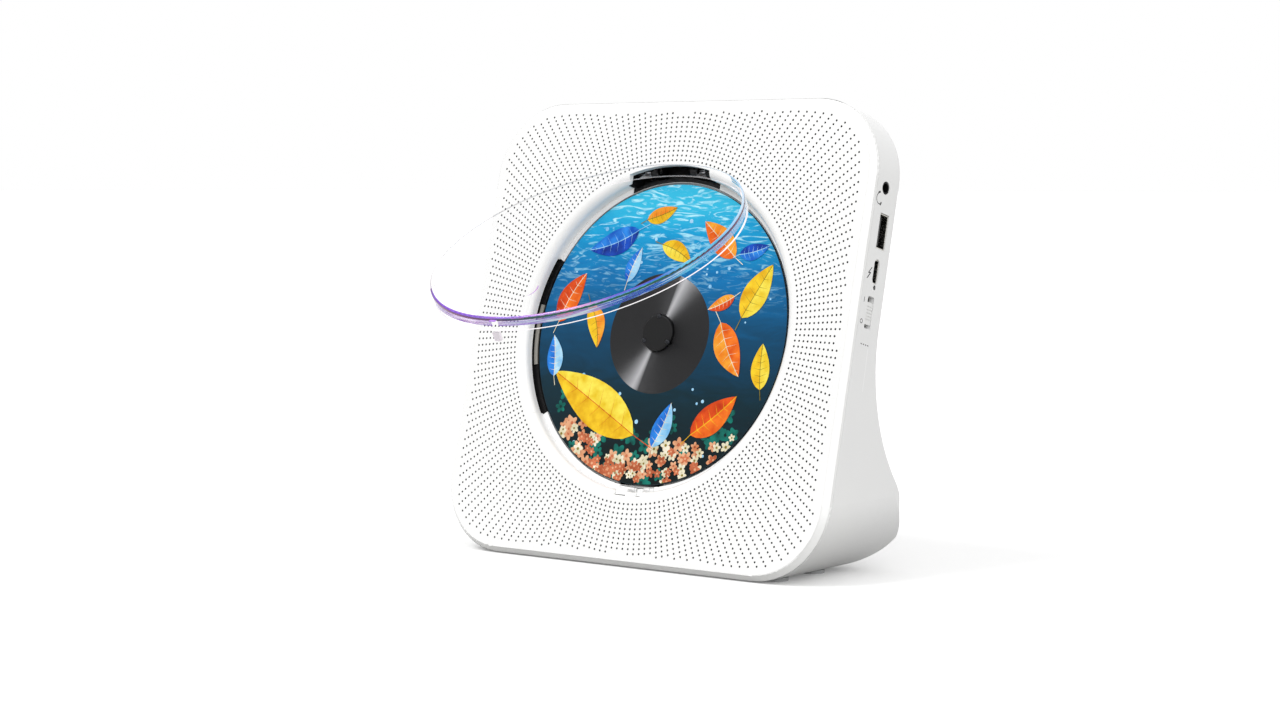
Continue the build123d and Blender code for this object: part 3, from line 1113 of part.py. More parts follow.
# ---------------------------------------------------------------- assembly
def pieces():
    body = rounded_body()
    shell = cabinet_shell(body)
    made = {
        "front_panel": front_panel(body),
        "speaker_cloth": speaker_cloth(),
        "housing": housing(shell),
        "rear_cover": rear_cover(shell),
        "rubber_feet": rubber_feet(),
        "housing_screws": housing_screws(),
        "rear_cover_screws": rear_cover_screws(),
        "well_dish": well_dish(),
        "well_screws": well_screws(),
        "latch_keeper": latch_keeper(),
        "side_window": side_window(),
        "window_pad": window_pad(),
        "hinge_pocket": hinge_pocket(),
        "hinge_pins": hinge_pins(),
        "dust_cover": dust_cover(),
        "disc": disc(),
        "spindle_hub": spindle_hub(),
        "hub_balls": hub_balls(),
        "turntable": turntable(),
        "turntable_pad": turntable_pad(),
        "spindle_shaft": spindle_shaft(),
        "spindle_motor": spindle_motor(),
        "drive_chassis": drive_chassis(),
        "chassis_dampers": chassis_dampers(),
        "chassis_screws": chassis_screws(),
        "guide_rods": guide_rods(),
        "pickup_sled": pickup_sled(),
        "objective_lens": objective_lens(),
        "sled_gear": sled_gear(),
        "sled_pinion": sled_pinion(),
        "sled_motor": sled_motor(),
        "port_board": port_board(),
        "audio_jack": audio_jack(),
        "usb_a_socket": usb_a_socket(),
        "usb_c_socket": usb_c_socket(),
        "status_light": status_light(),
        "switch_body": switch_body(),
        "switch_knob": switch_knob(),
        "main_board": main_board(),
        "shield_can": shield_can(),
        "board_screws": board_screws(),
        "button_board": button_board(),
        "battery_cradle": battery_cradle(),
    }
    for name, x in zip(BUTTON_NAMES, button_places()):
        made["button_" + name] = button(x)
    for name, side in (("left", -1), ("right", 1)):
        made[name + "_speaker_frame"] = speaker_frame(side)
        made[name + "_speaker_cone"] = speaker_cone(side)
        made[name + "_speaker_magnet"] = speaker_magnet(side)
        made[name + "_battery_cell"] = battery_cell(side)
    return made


def main():
    stood = {name: PANEL_PLANE.location * piece for name, piece in pieces().items()}
    boxes = [piece.bounding_box() for piece in stood.values()]
    low = [min(getattr(b.min, axis) for b in boxes) for axis in "XYZ"]
    high = [max(getattr(b.max, axis) for b in boxes) for axis in "XYZ"]
    origin = Pos(-(low[0] + high[0]) / 2, -(low[1] + high[1]) / 2, -low[2])
    os.makedirs("parts", exist_ok=True)
    for name, piece in stood.items():
        export_step(origin * piece, "parts/" + name + ".step")
    print("origin shift", [round(n, 4) for n in tuple(origin.position)])
    print("box", [round(b - a, 3) for a, b in zip(low, high)])


main()
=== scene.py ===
"""Dresses the disc player: its perforated front, printed disc, clear cover and the finish of every piece."""

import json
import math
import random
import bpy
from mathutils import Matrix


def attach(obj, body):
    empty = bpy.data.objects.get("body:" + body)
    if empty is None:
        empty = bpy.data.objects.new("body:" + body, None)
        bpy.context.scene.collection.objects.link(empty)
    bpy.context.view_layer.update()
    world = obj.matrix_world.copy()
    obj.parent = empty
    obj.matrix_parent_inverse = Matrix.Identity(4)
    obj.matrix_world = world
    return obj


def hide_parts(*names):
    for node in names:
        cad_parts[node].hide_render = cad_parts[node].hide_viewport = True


bl_info = {
    "name": "Disc Player",
    "version": (1, 0, 0),
    "blender": (4, 5, 0),
    "location": "View3D > Sidebar > Disc Player",
    "description": "Builds a leaning disc player with a perforated front and a clear hinged cover",
    "category": "Object",
}

import bmesh
import bpy
from bpy.props import FloatProperty, FloatVectorProperty, IntProperty
from mathutils import Vector
from mathutils.geometry import delaunay_2d_cdt

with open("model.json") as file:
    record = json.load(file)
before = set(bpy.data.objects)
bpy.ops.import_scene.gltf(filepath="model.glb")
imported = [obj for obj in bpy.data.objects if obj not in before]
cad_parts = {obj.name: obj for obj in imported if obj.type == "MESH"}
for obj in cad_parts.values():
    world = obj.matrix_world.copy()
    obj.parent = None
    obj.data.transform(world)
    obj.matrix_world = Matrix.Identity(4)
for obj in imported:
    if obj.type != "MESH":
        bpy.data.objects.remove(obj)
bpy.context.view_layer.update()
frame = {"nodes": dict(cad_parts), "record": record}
NODES = frame["nodes"]

MM = 0.001
LEAN = math.radians(14.0)
RIGHT = Vector((1.0, 0.0, 0.0))
UP = Vector((0.0, math.sin(LEAN), math.cos(LEAN)))
OUT = Vector((0.0, -math.cos(LEAN), math.sin(LEAN)))
HUB_BASE = 8.0      # mm: how far the spindle's joint lies behind the front face


def joint_place(name):
    """Where the frame's record puts a joint, in metres."""
    return Vector(next(j["pos_m"] for j in frame["record"]["behaviour"]["joints"] if j["name"] == name))


FACE = joint_place("disc_spin") + OUT * HUB_BASE * MM      # middle of the front face, on the disc's axis
HINGE = joint_place("cover_hinge")

# The two sockets in the right wall: the shell's finish, and its mouth's height up the face, depth behind the
# face, length and width in millimetres.
SOCKETS = {"usb_a_socket": ("stamped_nickel_shell_large", 43.2, 11.5, 12.5, 5.1),
           "usb_c_socket": ("stamped_nickel_shell_small", 27.8, 10.8, 8.4, 2.6)}


def at(x, v, depth=0.0):
    """A point in metres from its place on the leaning face in millimetres: right, up the face and in."""
    return FACE + (RIGHT * x + UP * v - OUT * depth) * MM


def on_face(point):
    """The same place back in millimetres: right, up the face and in."""
    d = (Vector(point) - FACE) / MM
    return d.dot(RIGHT), d.dot(UP), -d.dot(OUT)


# ------------------------ materials
def linear(hex_colour):
    """sRGB hex, as a maker would quote a colour, to the linear values the shader takes."""
    parts = [int(hex_colour[i:i + 2], 16) / 255 for i in (1, 3, 5)]
    return tuple(c / 12.92 if c <= 0.04045 else ((c + 0.055) / 1.055) ** 2.4 for c in parts) + (1.0,)


def add(tree, kind, inputs=(), stops=(), **settings):
    """Adds a shader node with its settings. Each input is a value, a socket, or a node that stands for its
    first socket; stops are the places and colours of a colour ramp."""
    node = tree.nodes.new("ShaderNode" + kind)
    for key, value in settings.items():
        setattr(node, key, value)
    for key, value in dict(inputs).items():
        if isinstance(value, bpy.types.Node):
            value = value.outputs[0]
        if isinstance(value, bpy.types.NodeSocket):
            tree.links.new(value, node.inputs[key])
        else:
            node.inputs[key].default_value = value
    if stops:
        elements = node.color_ramp.elements
        while len(elements) < len(stops):
            elements.new(0.5)
        for element, (place, colour) in zip(elements, stops):
            element.position = place
            element.color = linear(colour)
    return node


def new_material(name):
    """A material with an empty tree of nodes."""
    material = bpy.data.materials.new(name)
    material.use_nodes = True
    material.node_tree.nodes.clear()
    return material, material.node_tree


def place_on(tree, axes=(RIGHT, UP), origin=FACE):
    """Sockets with the surface point's place along each axis from the origin, in millimetres."""
    point = add(tree, "TexCoord").outputs["Object"]
    offset = add(tree, "VectorMath", {0: point, 1: origin}, operation="SUBTRACT")
    scaled = add(tree, "VectorMath", {0: offset, "Scale": 1000.0}, operation="SCALE")
    return [add(tree, "VectorMath", {0: scaled, 1: axis}, operation="DOT_PRODUCT").outputs["Value"]
            for axis in axes]


def spark_relief(tree, grain_mm, depth_mm):
    """Fine even relief, as spark erosion leaves in a mould: the grain's width and depth are real."""
    point = add(tree, "TexCoord").outputs["Object"]
    noise = add(tree, "TexNoise", {"Vector": point, "Scale": 1000.0 / grain_mm, "Detail": 2.0,
                                             "Roughness": 0.6})
    return add(tree, "Bump", {"Height": noise, "Distance": depth_mm * MM, "Strength": 1.0})


def soft_mottle(tree, low_hex, high_hex, patch_mm):
    """Two near colours in broad soft patches, for handling and moulding flow."""
    point = add(tree, "TexCoord").outputs["Object"]
    noise = add(tree, "TexNoise", {"Vector": point, "Scale": 1000.0 / patch_mm, "Detail": 3.0})
    spread = add(tree, "MapRange", {"Value": noise, "From Min": 0.3, "From Max": 0.7})
    return add(tree, "Mix", {"Factor": spread, 6: linear(low_hex), 7: linear(high_hex)},
               data_type="RGBA").outputs[2]


def moulded(name, low_hex, high_hex, roughness, grain_mm, depth_mm, coat=0.0, ior=1.54):
    """Injection-moulded plastic: near-even colour, with the mould's fine relief breaking the gloss."""
    material, tree = new_material(name)
    shader = add(tree, "BsdfPrincipled", {
        "Base Color": soft_mottle(tree, low_hex, high_hex, 60.0), "Roughness": roughness, "IOR": ior,
        "Coat Weight": coat, "Coat Roughness": 0.12, "Normal": spark_relief(tree, grain_mm, depth_mm)})
    add(tree, "OutputMaterial", {"Surface": shader})
    return material


def metal(name, hex_colour, roughness, streak_mm):
    """Bare or plated metal: drawn or turned streaks in its roughness, each much longer than it is wide."""
    material, tree = new_material(name)
    length = 30.0
    point = add(tree, "TexCoord").outputs["Object"]
    drawn = add(tree, "Mapping", {"Vector": point, "Scale": (1.0, length, length)})
    noise = add(tree, "TexNoise", {"Vector": drawn, "Scale": 1000.0 / streak_mm / length,
                                             "Detail": 4.0})
    rough = add(tree, "MapRange", {"Value": noise, "To Min": roughness * 0.7,
                                             "To Max": roughness * 1.4})
    shader = add(tree, "BsdfPrincipled", {"Base Color": linear(hex_colour), "Metallic": 1.0,
                                                    "Roughness": rough})
    add(tree, "OutputMaterial", {"Surface": shader})
    return material


def make_materials():
    """Every finish of the player, by the material slot or the node that it belongs to."""
    made = {}
    # ABS, high-gloss tool: bright white with a soft sheen and hardly any relief.
    made["white_gloss"] = moulded("moulded_abs_gloss_white", "#F6F6F5", "#FAFAF9", 0.32, 0.8, 0.004,
                                  coat=0.25)
    # ABS, spark-eroded tool: the same white with a finer, duller sheen.
    made["white_satin"] = moulded("moulded_abs_satin_white", "#F0F0F0", "#F5F5F4", 0.42, 0.6, 0.008)
    # ABS coloured through with carbon black: deep, with a low satin sheen.
    made["black_plastic"] = moulded("moulded_abs_black", "#050506", "#09090A", 0.5, 0.5, 0.01, ior=1.3)
    # ABS in pale and in warm grey: plain working parts, a touch duller than the shell.
    made["grey_plastic"] = moulded("moulded_abs_pale_grey", "#ECECEB", "#F1F1F0", 0.4, 0.5, 0.008)
    made["warm_grey"] = moulded("moulded_abs_warm_grey", "#8B8881", "#98958E", 0.5, 0.5, 0.01)
    # Nylon, unfilled: milky and slightly waxy.
    made["white_nylon"] = moulded("moulded_nylon_natural", "#E3DFD2", "#EBE8DE", 0.45, 0.5, 0.006)
    # Silicone and EPDM rubber: dull, with a fine bloom.
    made["grey_rubber"] = moulded("moulded_silicone_grey", "#A9AAAB", "#B4B5B6", 0.75, 0.4, 0.02, ior=1.41)
    made["black_rubber"] = moulded("moulded_epdm_black", "#101011", "#1A1A1B", 0.8, 0.4, 0.02, ior=1.5)
    # Sintered ferrite: near-black ceramic, ground grey.
    made["ferrite"] = moulded("sintered_ferrite", "#26272A", "#303236", 0.6, 0.3, 0.02)
    # Paper pulp pressed over a former: soft black with a coarse, quite dull surface.
    made["paper_cone"] = moulded("pressed_paper_black", "#121213", "#1D1D1F", 0.85, 0.7, 0.04)
    # Glass-fibre board under green solder mask: glossy over a faint weave.
    made["circuit_board"] = moulded("soldermask_green", "#0E4A26", "#14592F", 0.3, 1.2, 0.01, coat=0.4)
    # PVC sleeve shrunk round a cell: smooth and shiny, with broad soft ripples.
    made["cell_wrap"] = moulded("shrunk_pvc_blue", "#1C4A8F", "#23569F", 0.28, 2.0, 0.01)
    # Steel under zinc: turned screws and rods are cool and bright, drawn sheet is greyer and softer.
    made["steel"] = metal("machined_zinc_plated_steel", "#C2C4C6", 0.3, 0.4)
    made["zinc"] = metal("drawn_galvanised_steel", "#B9BBBC", 0.38, 0.8)
    # Steel under nickel or tin, stamped: nickel mirrors sharply with a warm cast, tin is plain and even.
    made["nickel"] = metal("stamped_nickel_plated_steel", "#CFCBC4", 0.18, 0.6)
    made["tinplate"] = metal("stamped_tinplate", "#C9C9C7", 0.3, 0.8)
    # Bearing balls, ground and blued: nearly black, with small sharp lights.
    made["blued_steel"] = metal("ground_blued_steel", "#2B2C2F", 0.35, 0.4)
    # Flash of gold over brass contacts: thin pale yellow glints.
    made["contact_gold"] = metal("flash_plated_gold_contacts", "#F1DCA6", 0.25, 0.4)
    made["black_cloth"] = woven_cloth()
    made["clear_plastic"] = clear_cover()
    made["lens_glass"] = clear_part("polished_lens_glass", 0.0, "#DCE8FA")
    made["light_guide"] = clear_part("frosted_acrylic_guide", 0.35, "#FFFFFF")
    made["printed_disc"] = printed_polycarbonate()
    made["marked_white"] = marked_white()
    for node, (name, *mouth) in SOCKETS.items():
        made[node] = socket_shell(name, *mouth)
    return made


def woven_cloth():
    """Polyester speaker cloth: matt black threads. They are 0.6 mm apart, too fine to show, and drawn 1.9 mm
    apart."""
    material, tree = new_material("woven_polyester_black")
    pitch_mm = 1.885
    point = add(tree, "TexCoord").outputs["Object"]
    # A wave at scale 1 repeats every 2 pi / 20 metres.
    warp, weft = [add(tree, "TexWave", {"Vector": point, "Scale": 2 * math.pi / 20 / (pitch_mm * MM)},
                      bands_direction=axis).outputs["Fac"] for axis in ("X", "Z")]
    height = add(tree, "Math", {0: warp, 1: weft}, operation="MULTIPLY")
    bump = add(tree, "Bump", {"Height": height, "Distance": 0.1 * MM})
    shader = add(tree, "BsdfPrincipled", {"Base Color": soft_mottle(tree, "#050506", "#0A0A0B", 8.0),
                                                    "Roughness": 0.9, "Normal": bump})
    add(tree, "OutputMaterial", {"Surface": shader})
    return material


def clear_part(name, roughness, hex_colour):
    """Small clear mouldings: a polished one shows what is behind it, a frosted one only glows."""
    material, tree = new_material(name)
    shader = add(tree, "BsdfPrincipled", {"Base Color": linear(hex_colour), "Roughness": roughness,
                                                    "IOR": 1.49, "Transmission Weight": 1.0})
    add(tree, "OutputMaterial", {"Surface": shader})
    return material


def clear_cover():
    """Polished acrylic: almost invisible through its flat plate and wall. Along its rounded rim, its cut edge
    and
    the near side of its skirt, bright, dark and coloured lines that run round it are painted into its colour:
    painted highlights and painted reflections."""
    material, tree = new_material("polished_acrylic_clear")
    sizes = bpy.context.scene.player_cover
    swing = math.radians(sizes.open_angle)
    up, out = UP * math.cos(swing) - OUT * math.sin(swing), UP * math.sin(swing) + OUT * math.cos(swing)
    middle = HINGE - RIGHT * HINGE.x + (out * sizes.hinge_depth - up * sizes.hinge_height) * MM
    side, height, depth = place_on(tree, (RIGHT, up, -out), middle)
    flat = add(tree, "CombineXYZ", {0: side, 1: height})
    radius = add(tree, "VectorMath", {0: flat}, operation="LENGTH").outputs["Value"]
    dimple = add(tree, "VectorMath", {0: flat, 1: (0.0, -sizes.dimple_place, 0.0)},
                 operation="DISTANCE").outputs["Value"]
    angle = add(tree, "Math", {0: height, 1: side}, operation="ARCTAN2")
    turns = add(tree, "Math", {0: angle, 1: 0.5 / math.pi, 2: 1.0}, operation="MULTIPLY_ADD")
    turn = add(tree, "Math", {0: turns}, operation="FRACT")
    # Streaks run round the skirt, long along it and fine across it; they break up the painted glints, the
    # painted band and the painted dimple ring.
    unrolled = add(tree, "CombineXYZ", {0: turn, 1: depth})
    thread = add(tree, "VectorMath", {0: unrolled, 1: (14.0, 1.5, 0.0)}, operation="MULTIPLY")
    streak = add(tree, "TexNoise", {"Vector": thread, "Scale": 1.0, "Detail": 3.0, "Distortion": 0.8})
    gleaming = add(tree, "MapRange", {"Value": streak, "From Min": 0.56, "From Max": 0.62})
    strength = add(tree, "MapRange", {"Value": streak, "From Min": 0.36, "From Max": 0.56,
                                                "To Min": 0.45, "To Max": 1.0})
    facing = add(tree, "LayerWeight", {"Blend": 0.5}).outputs["Facing"]
    grazing = add(tree, "MapRange", {"Value": facing, "From Min": 0.68, "From Max": 0.9, "To Max": 0.6})
    path = add(tree, "LightPath")
    lit_middle = (sizes.lit_start + sizes.lit_skirt) / 2
    skin, line_middle, line_half, ring_half = 0.1, 0.8, 0.5, 0.35     # mm
    # One row for each mask: its name, how it is worked out, and from what values, sockets or earlier masks.
    rows = (
        ("rounded", "GREATER_THAN", radius, sizes.radius - sizes.rounding),
        ("at_front", "LESS_THAN", depth, sizes.rounding), ("rim", "MULTIPLY", "rounded", "at_front"),
        ("at_back", "GREATER_THAN", depth, sizes.skirt), ("cut", "MULTIPLY", "rounded", "at_back"),
        # The near side runs from just past the top, by the right, to the far left; beyond it only thin
        # painted lines show.
        ("right_side", "LESS_THAN", turn, sizes.far_start),
        ("lower_side", "GREATER_THAN", turn, sizes.far_end), ("near", "MAXIMUM", "right_side", "lower_side"),
        ("faint", "MULTIPLY_ADD", "near", 0.6, 0.4), ("outer_wall", "COMPARE", radius, sizes.radius, skin),
        ("outside", "MULTIPLY", "outer_wall", "near"),
        ("lit_part", "COMPARE", depth, lit_middle, sizes.lit_skirt - lit_middle),
        ("band", "MULTIPLY", "outside", "lit_part"), ("lit_band", "MULTIPLY", "band", strength),
        # A painted dark line along the near outer wall, close to the skirt's front.
        ("dark_part", "COMPARE", depth, line_middle, line_half),
        ("painted_dark_line", "MULTIPLY", "outside", "dark_part"),
        # The dimple's ring is a painted reflection, broken up by the streaks.
        ("ring", "COMPARE", dimple, sizes.dimple_radius, ring_half), ("broken", "GREATER_THAN", streak, 0.5),
        ("lens", "MULTIPLY", "ring", "broken"), ("gleam", "MULTIPLY", gleaming, "band"),
        # Painted white highlights: the glints in the band, and the cut edge.
        ("bright", "MAXIMUM", "gleam", "cut"),
        ("coloured", "MAXIMUM", "rim", "band"), ("painted_colour_lines", "MAXIMUM", "coloured", "lens"),
        ("edges", "MAXIMUM", "rim", "cut"), ("soft_edges", "MULTIPLY", "edges", "faint"),
        ("painted_dark_and_ring_lines", "MAXIMUM", "painted_dark_line", "lens"), ("lines", "MAXIMUM", "soft_edges", "painted_dark_and_ring_lines"),
        ("lines_and_glare", "MAXIMUM", "lines", grazing), ("seen", "MAXIMUM", "lines_and_glare", "lit_band"),
        ("dim_ray", "MAXIMUM", path.outputs["Is Shadow Ray"], path.outputs["Is Diffuse Ray"]),
        ("plain_ray", "SUBTRACT", 1.0, "dim_ray"), ("shown", "MULTIPLY", "seen", "plain_ray"))
    mask = {}
    for name, operation, *values in rows:
        mask[name] = add(tree, "Math", {i: mask.get(value, value) for i, value in enumerate(values)},
                         operation=operation)
    # Painted reflection colours by place round the cover: cyan at the right, grey over the top, near black at
    # the left, violet and pink below, blue and cyan again at the lower right.
    painted_reflection_hue = add(tree, "ValToRGB", {"Fac": turn}, stops=(
        (0.0, "#5CCBF0"), (0.07, "#C4F1FF"), (0.15, "#2FB4E6"), (0.25, "#9298A2"), (0.42, "#8A8C93"),
        (0.5, "#2E2E35"), (0.61, "#18181F"), (0.64, "#4A22C0"), (0.71, "#8752E0"), (0.79, "#B678EA"),
        (0.845, "#F0A8EE"), (0.875, "#6A4FE0"), (0.92, "#1A55D8"), (0.955, "#5AD4F4"), (1.0, "#3CC0EC")))
    # The acrylic's own pale colour, under painted reflection colours on the rim, band and dimple ring,
    # painted white highlights on the glints and cut edge, and a painted dark line near the skirt's front.
    colour = linear("#EEF2F6")
    for name, over in (("painted_colour_lines", painted_reflection_hue.outputs[0]), ("bright", linear("#FFFFFF")),
                       ("painted_dark_line", linear("#0B0B10"))):
        colour = add(tree, "Mix", {"Factor": mask[name], 6: colour, 7: over},
                     data_type="RGBA").outputs[2]
    solid = add(tree, "BsdfPrincipled", {
        "Base Color": colour, "Roughness": 0.05, "IOR": 1.49, "Transmission Weight": sizes.clearness,
        "Thin Film Thickness": 520.0, "Thin Film IOR": 1.75})
    through = add(tree, "BsdfTransparent", {"Color": (0.995, 0.995, 0.997, 1.0)})
    mix = add(tree, "MixShader", {0: mask["shown"], 1: through, 2: solid})
    add(tree, "OutputMaterial", {"Surface": mix})
    return material


def mm(name, description, default):
    """A size in millimetres that a user can change."""
    return FloatProperty(name=name, description=description + ", mm", default=default)


class CoverSizes(bpy.types.PropertyGroup):
    """Where the clear cover's edges lie, in millimetres from its own middle and front."""
    open_angle: FloatProperty(name="Opening", description="How far the cover stands open, degrees",
                              default=49.0)
    hinge_height: mm("Hinge height", "Hinge above the disc's axis", 65.0)
    hinge_depth: mm("Hinge depth", "Hinge behind the cover's front", 5.3)
    radius: mm("Cover radius", "Outer radius of the cover", 61.8)
    rounding: mm("Rim rounding", "Radius of the cover's front rim", 0.85)
    skirt: mm("Skirt", "Cover's front to its cut edge", 5.4)
    lit_start: mm("Colours start", "Where down the skirt the colours start", 1.3)
    lit_skirt: mm("Colours end", "How far down the skirt the colours run", 3.4)
    far_start: FloatProperty(name="Far side starts", description="Share of a turn, from the right by the top",
                             default=0.16, subtype="FACTOR")
    far_end: FloatProperty(name="Far side ends", description="Share of a turn, from the right by the top",
                           default=0.62, subtype="FACTOR")
    dimple_place: mm("Dimple place", "Finger dimple below the middle", 42.0)
    dimple_radius: mm("Dimple radius", "Radius of the finger dimple", 6.3)
    clearness: FloatProperty(name="Clearness", description="Share of light that passes the lit edges",
                             default=0.25, subtype="FACTOR")


def printed_polycarbonate():
    """A pressed disc with a screen-printed face: sea colours round a dark grooved middle."""
    material, tree = new_material("screen_printed_polycarbonate")
    middle, edge, groove = 24.0, 59.85, 0.35      # mm: the dark middle, the bare edge, one groove to the next
    sweep_place = 1.0 - 75.0 / 180.0              # the pale sweeps end 75 degrees round
    x, v = place_on(tree)
    flat = add(tree, "CombineXYZ", {0: x, 1: v})
    radius = add(tree, "VectorMath", {0: flat}, operation="LENGTH").outputs["Value"]
    # The sea darkens downwards in drifts about 22 mm long and 6 mm high.
    stretched = add(tree, "Mapping", {"Vector": flat, "Scale": (0.045, 0.16, 1.0)})
    drift = add(tree, "TexNoise", {"Vector": stretched, "Scale": 1.0, "Detail": 5.0,
                                             "Distortion": 1.2})
    height = add(tree, "MapRange", {"Value": v, "From Min": -60.0, "From Max": 60.0})
    wobble = add(tree, "Math", {0: drift, 1: 0.16, 2: height}, operation="MULTIPLY_ADD")
    sea = add(tree, "ValToRGB", {"Fac": wobble}, stops=(
        (0.0, "#010606"), (0.2, "#02161A"), (0.38, "#032834"), (0.58, "#034468"), (0.78, "#0570AE"),
        (0.92, "#0F9CD2"), (1.0, "#33BCE2")))
    # Glints lie on the upper water, about 11 mm long and 3 mm high.
    rippled = add(tree, "Mapping", {"Vector": flat, "Scale": (0.09, 0.36, 1.0),
                                              "Rotation": (0.0, 0.0, 0.12)})
    glint = add(tree, "TexNoise", {"Vector": rippled, "Scale": 1.0, "Detail": 4.0, "Distortion": 2.0})
    bright = add(tree, "MapRange", {"Value": glint, "From Min": 0.52, "From Max": 0.66})
    top = add(tree, "MapRange", {"Value": v, "From Min": 8.0, "From Max": 46.0})
    glow = add(tree, "Math", {0: bright, 1: top}, operation="MULTIPLY")
    inner = add(tree, "Math", {0: radius, 1: middle}, operation="LESS_THAN")
    bare = add(tree, "Math", {0: radius, 1: edge}, operation="GREATER_THAN")
    # The turned middle is dark with two painted highlights, pale sweeps opposite each other that fade one way
    # round.
    turn = add(tree, "Math", {0: v, 1: x}, operation="ARCTAN2")
    laps = add(tree, "Math", {0: turn, 1: 1 / math.pi, 2: 1.0 + sweep_place}, operation="MULTIPLY_ADD")
    lap = add(tree, "Math", {0: laps}, operation="FRACT")
    rise = add(tree, "MapRange", {"Value": lap, "From Min": 0.78, "From Max": 0.985})
    curve = add(tree, "Math", {0: rise, 1: 2.2}, operation="POWER")
    start = add(tree, "MapRange", {"Value": lap, "From Min": 1.0, "From Max": 0.955})
    painted_sweep = add(tree, "Math", {0: curve, 1: start}, operation="MULTIPLY")
    middle_with_painted_sweeps = add(tree, "Mix", {"Factor": painted_sweep, 6: linear("#303031"), 7: linear("#8E8E90")},
                 data_type="RGBA").outputs[2]
    colour = sea.outputs[0]
    for factor, over in ((glow, linear("#B4ECFA")), (inner, middle_with_painted_sweeps), (bare, linear("#203038"))):
        colour = add(tree, "Mix", {"Factor": factor, 6: colour, 7: over}, data_type="RGBA").outputs[2]
    # Its grooves throw the light in two opposite fans.
    phase = add(tree, "Math", {0: radius, 1: 2 * math.pi / groove}, operation="MULTIPLY")
    wave = add(tree, "Math", {0: phase}, operation="SINE")
    depth = add(tree, "Math", {0: wave, 1: inner}, operation="MULTIPLY")
    bump = add(tree, "Bump", {"Height": depth, "Distance": 0.022 * MM, "Strength": 1.0})
    shader = add(tree, "BsdfPrincipled", {"Base Color": colour, "Metallic": inner, "Roughness": 0.3,
                                                    "IOR": 1.25, "Normal": bump})
    add(tree, "OutputMaterial", {"Surface": shader})
    return material


def stroke(tree, point, start, end, width):
    """One inside a straight printed stroke between two points of the side wall, in millimetres."""
    start, run = Vector((*start, 0.0)), Vector((*end, 0.0)) - Vector((*start, 0.0))
    away = add(tree, "VectorMath", {0: point, 1: start}, operation="SUBTRACT")
    along = add(tree, "VectorMath", {0: away, 1: run / run.length_squared}, operation="DOT_PRODUCT")
    share = add(tree, "Clamp", {"Value": along.outputs["Value"]})
    foot = add(tree, "VectorMath", {0: run, "Scale": share}, operation="SCALE")
    gap = add(tree, "VectorMath", {0: away, 1: foot}, operation="DISTANCE").outputs["Value"]
    return add(tree, "Math", {0: gap, 1: width / 2}, operation="LESS_THAN")


def hoop(tree, point, middle, radius, width, opening=None):
    """One inside a printed ring, or where opening is a direction, inside the half that lies away from it."""
    away = add(tree, "VectorMath", {0: point, 1: (*middle, 0.0)}, operation="SUBTRACT")
    reach = add(tree, "VectorMath", {0: away}, operation="LENGTH").outputs["Value"]
    on = add(tree, "Math", {0: reach, 1: radius, 2: width / 2}, operation="COMPARE")
    if opening is None:
        return on
    ahead = add(tree, "VectorMath", {0: away, 1: (*opening, 0.0)}, operation="DOT_PRODUCT")
    half = add(tree, "Math", {0: ahead.outputs["Value"], 1: 0.3}, operation="LESS_THAN")
    return add(tree, "Math", {0: on, 1: half}, operation="MULTIPLY")


def marked_white():
    """The housing's satin white, pad-printed on its right wall with small black marks: a headband by the
    headphone jack, a charging bolt, a bar and a ring at the switch's ends, and four ticks under it. A thin
    white line running down the wall from behind the ticks is a painted highlight."""
    material = moulded("moulded_abs_satin_white_printed_and_painted_highlight", "#F0F0F0", "#F5F5F4", 0.42, 0.6, 0.008)
    tree = material.node_tree
    shader = next(n for n in tree.nodes if n.type == "BSDF_PRINCIPLED")
    side, depth, v = place_on(tree, (RIGHT, -OUT, UP))
    wall = add(tree, "Math", {0: side, 1: 92.65}, operation="GREATER_THAN")
    point = add(tree, "CombineXYZ", {0: depth, 1: v})
    # Each mark's places are its depth behind the face and its height up it; the last number is its width.
    ear_cups = [((5.3, 56.9), (6.1, 57.3), 0.8), ((7.2, 52.7), (7.7, 53.5), 0.8)]
    bolt = [((7.7, 28.8), (5.9, 26.6), 0.45), ((5.9, 26.6), (7.3, 26.8), 0.45),
            ((7.3, 26.8), (5.4, 24.5), 0.45)]
    bar = [((5.6, 15.6), (5.6, 17.2), 0.35)]
    ticks = [((7.4 + 1.5 * i, 0.1), (7.9 + 1.5 * i, 0.0), 0.4) for i in range(4)]
    black = add(tree, "Math", {0: hoop(tree, point, (6.4, 54.9), 2.1, 0.35, opening=(0.87, 0.5)),
                                         1: hoop(tree, point, (5.6, 8.2), 0.75, 0.3)}, operation="MAXIMUM")
    for mark in ear_cups + bolt + bar + ticks:
        black = add(tree, "Math", {0: black, 1: stroke(tree, point, *mark)}, operation="MAXIMUM")
    # A painted highlight: a thin white line of light running down the wall.
    painted_highlight_line = stroke(tree, point, (12.6, -1.1), (13.0, -16.9), 0.3)
    colour = shader.inputs["Base Color"].links[0].from_socket
    for mask, over in ((black, "#1B1B1D"), (painted_highlight_line, "#FFFFFF")):
        print_and_painted_highlight = add(tree, "Math", {0: mask, 1: wall}, operation="MULTIPLY")
        colour = add(tree, "Mix", {"Factor": print_and_painted_highlight, 6: colour, 7: linear(over)},
                     data_type="RGBA").outputs[2]
    tree.links.new(colour, shader.inputs["Base Color"])
    return material


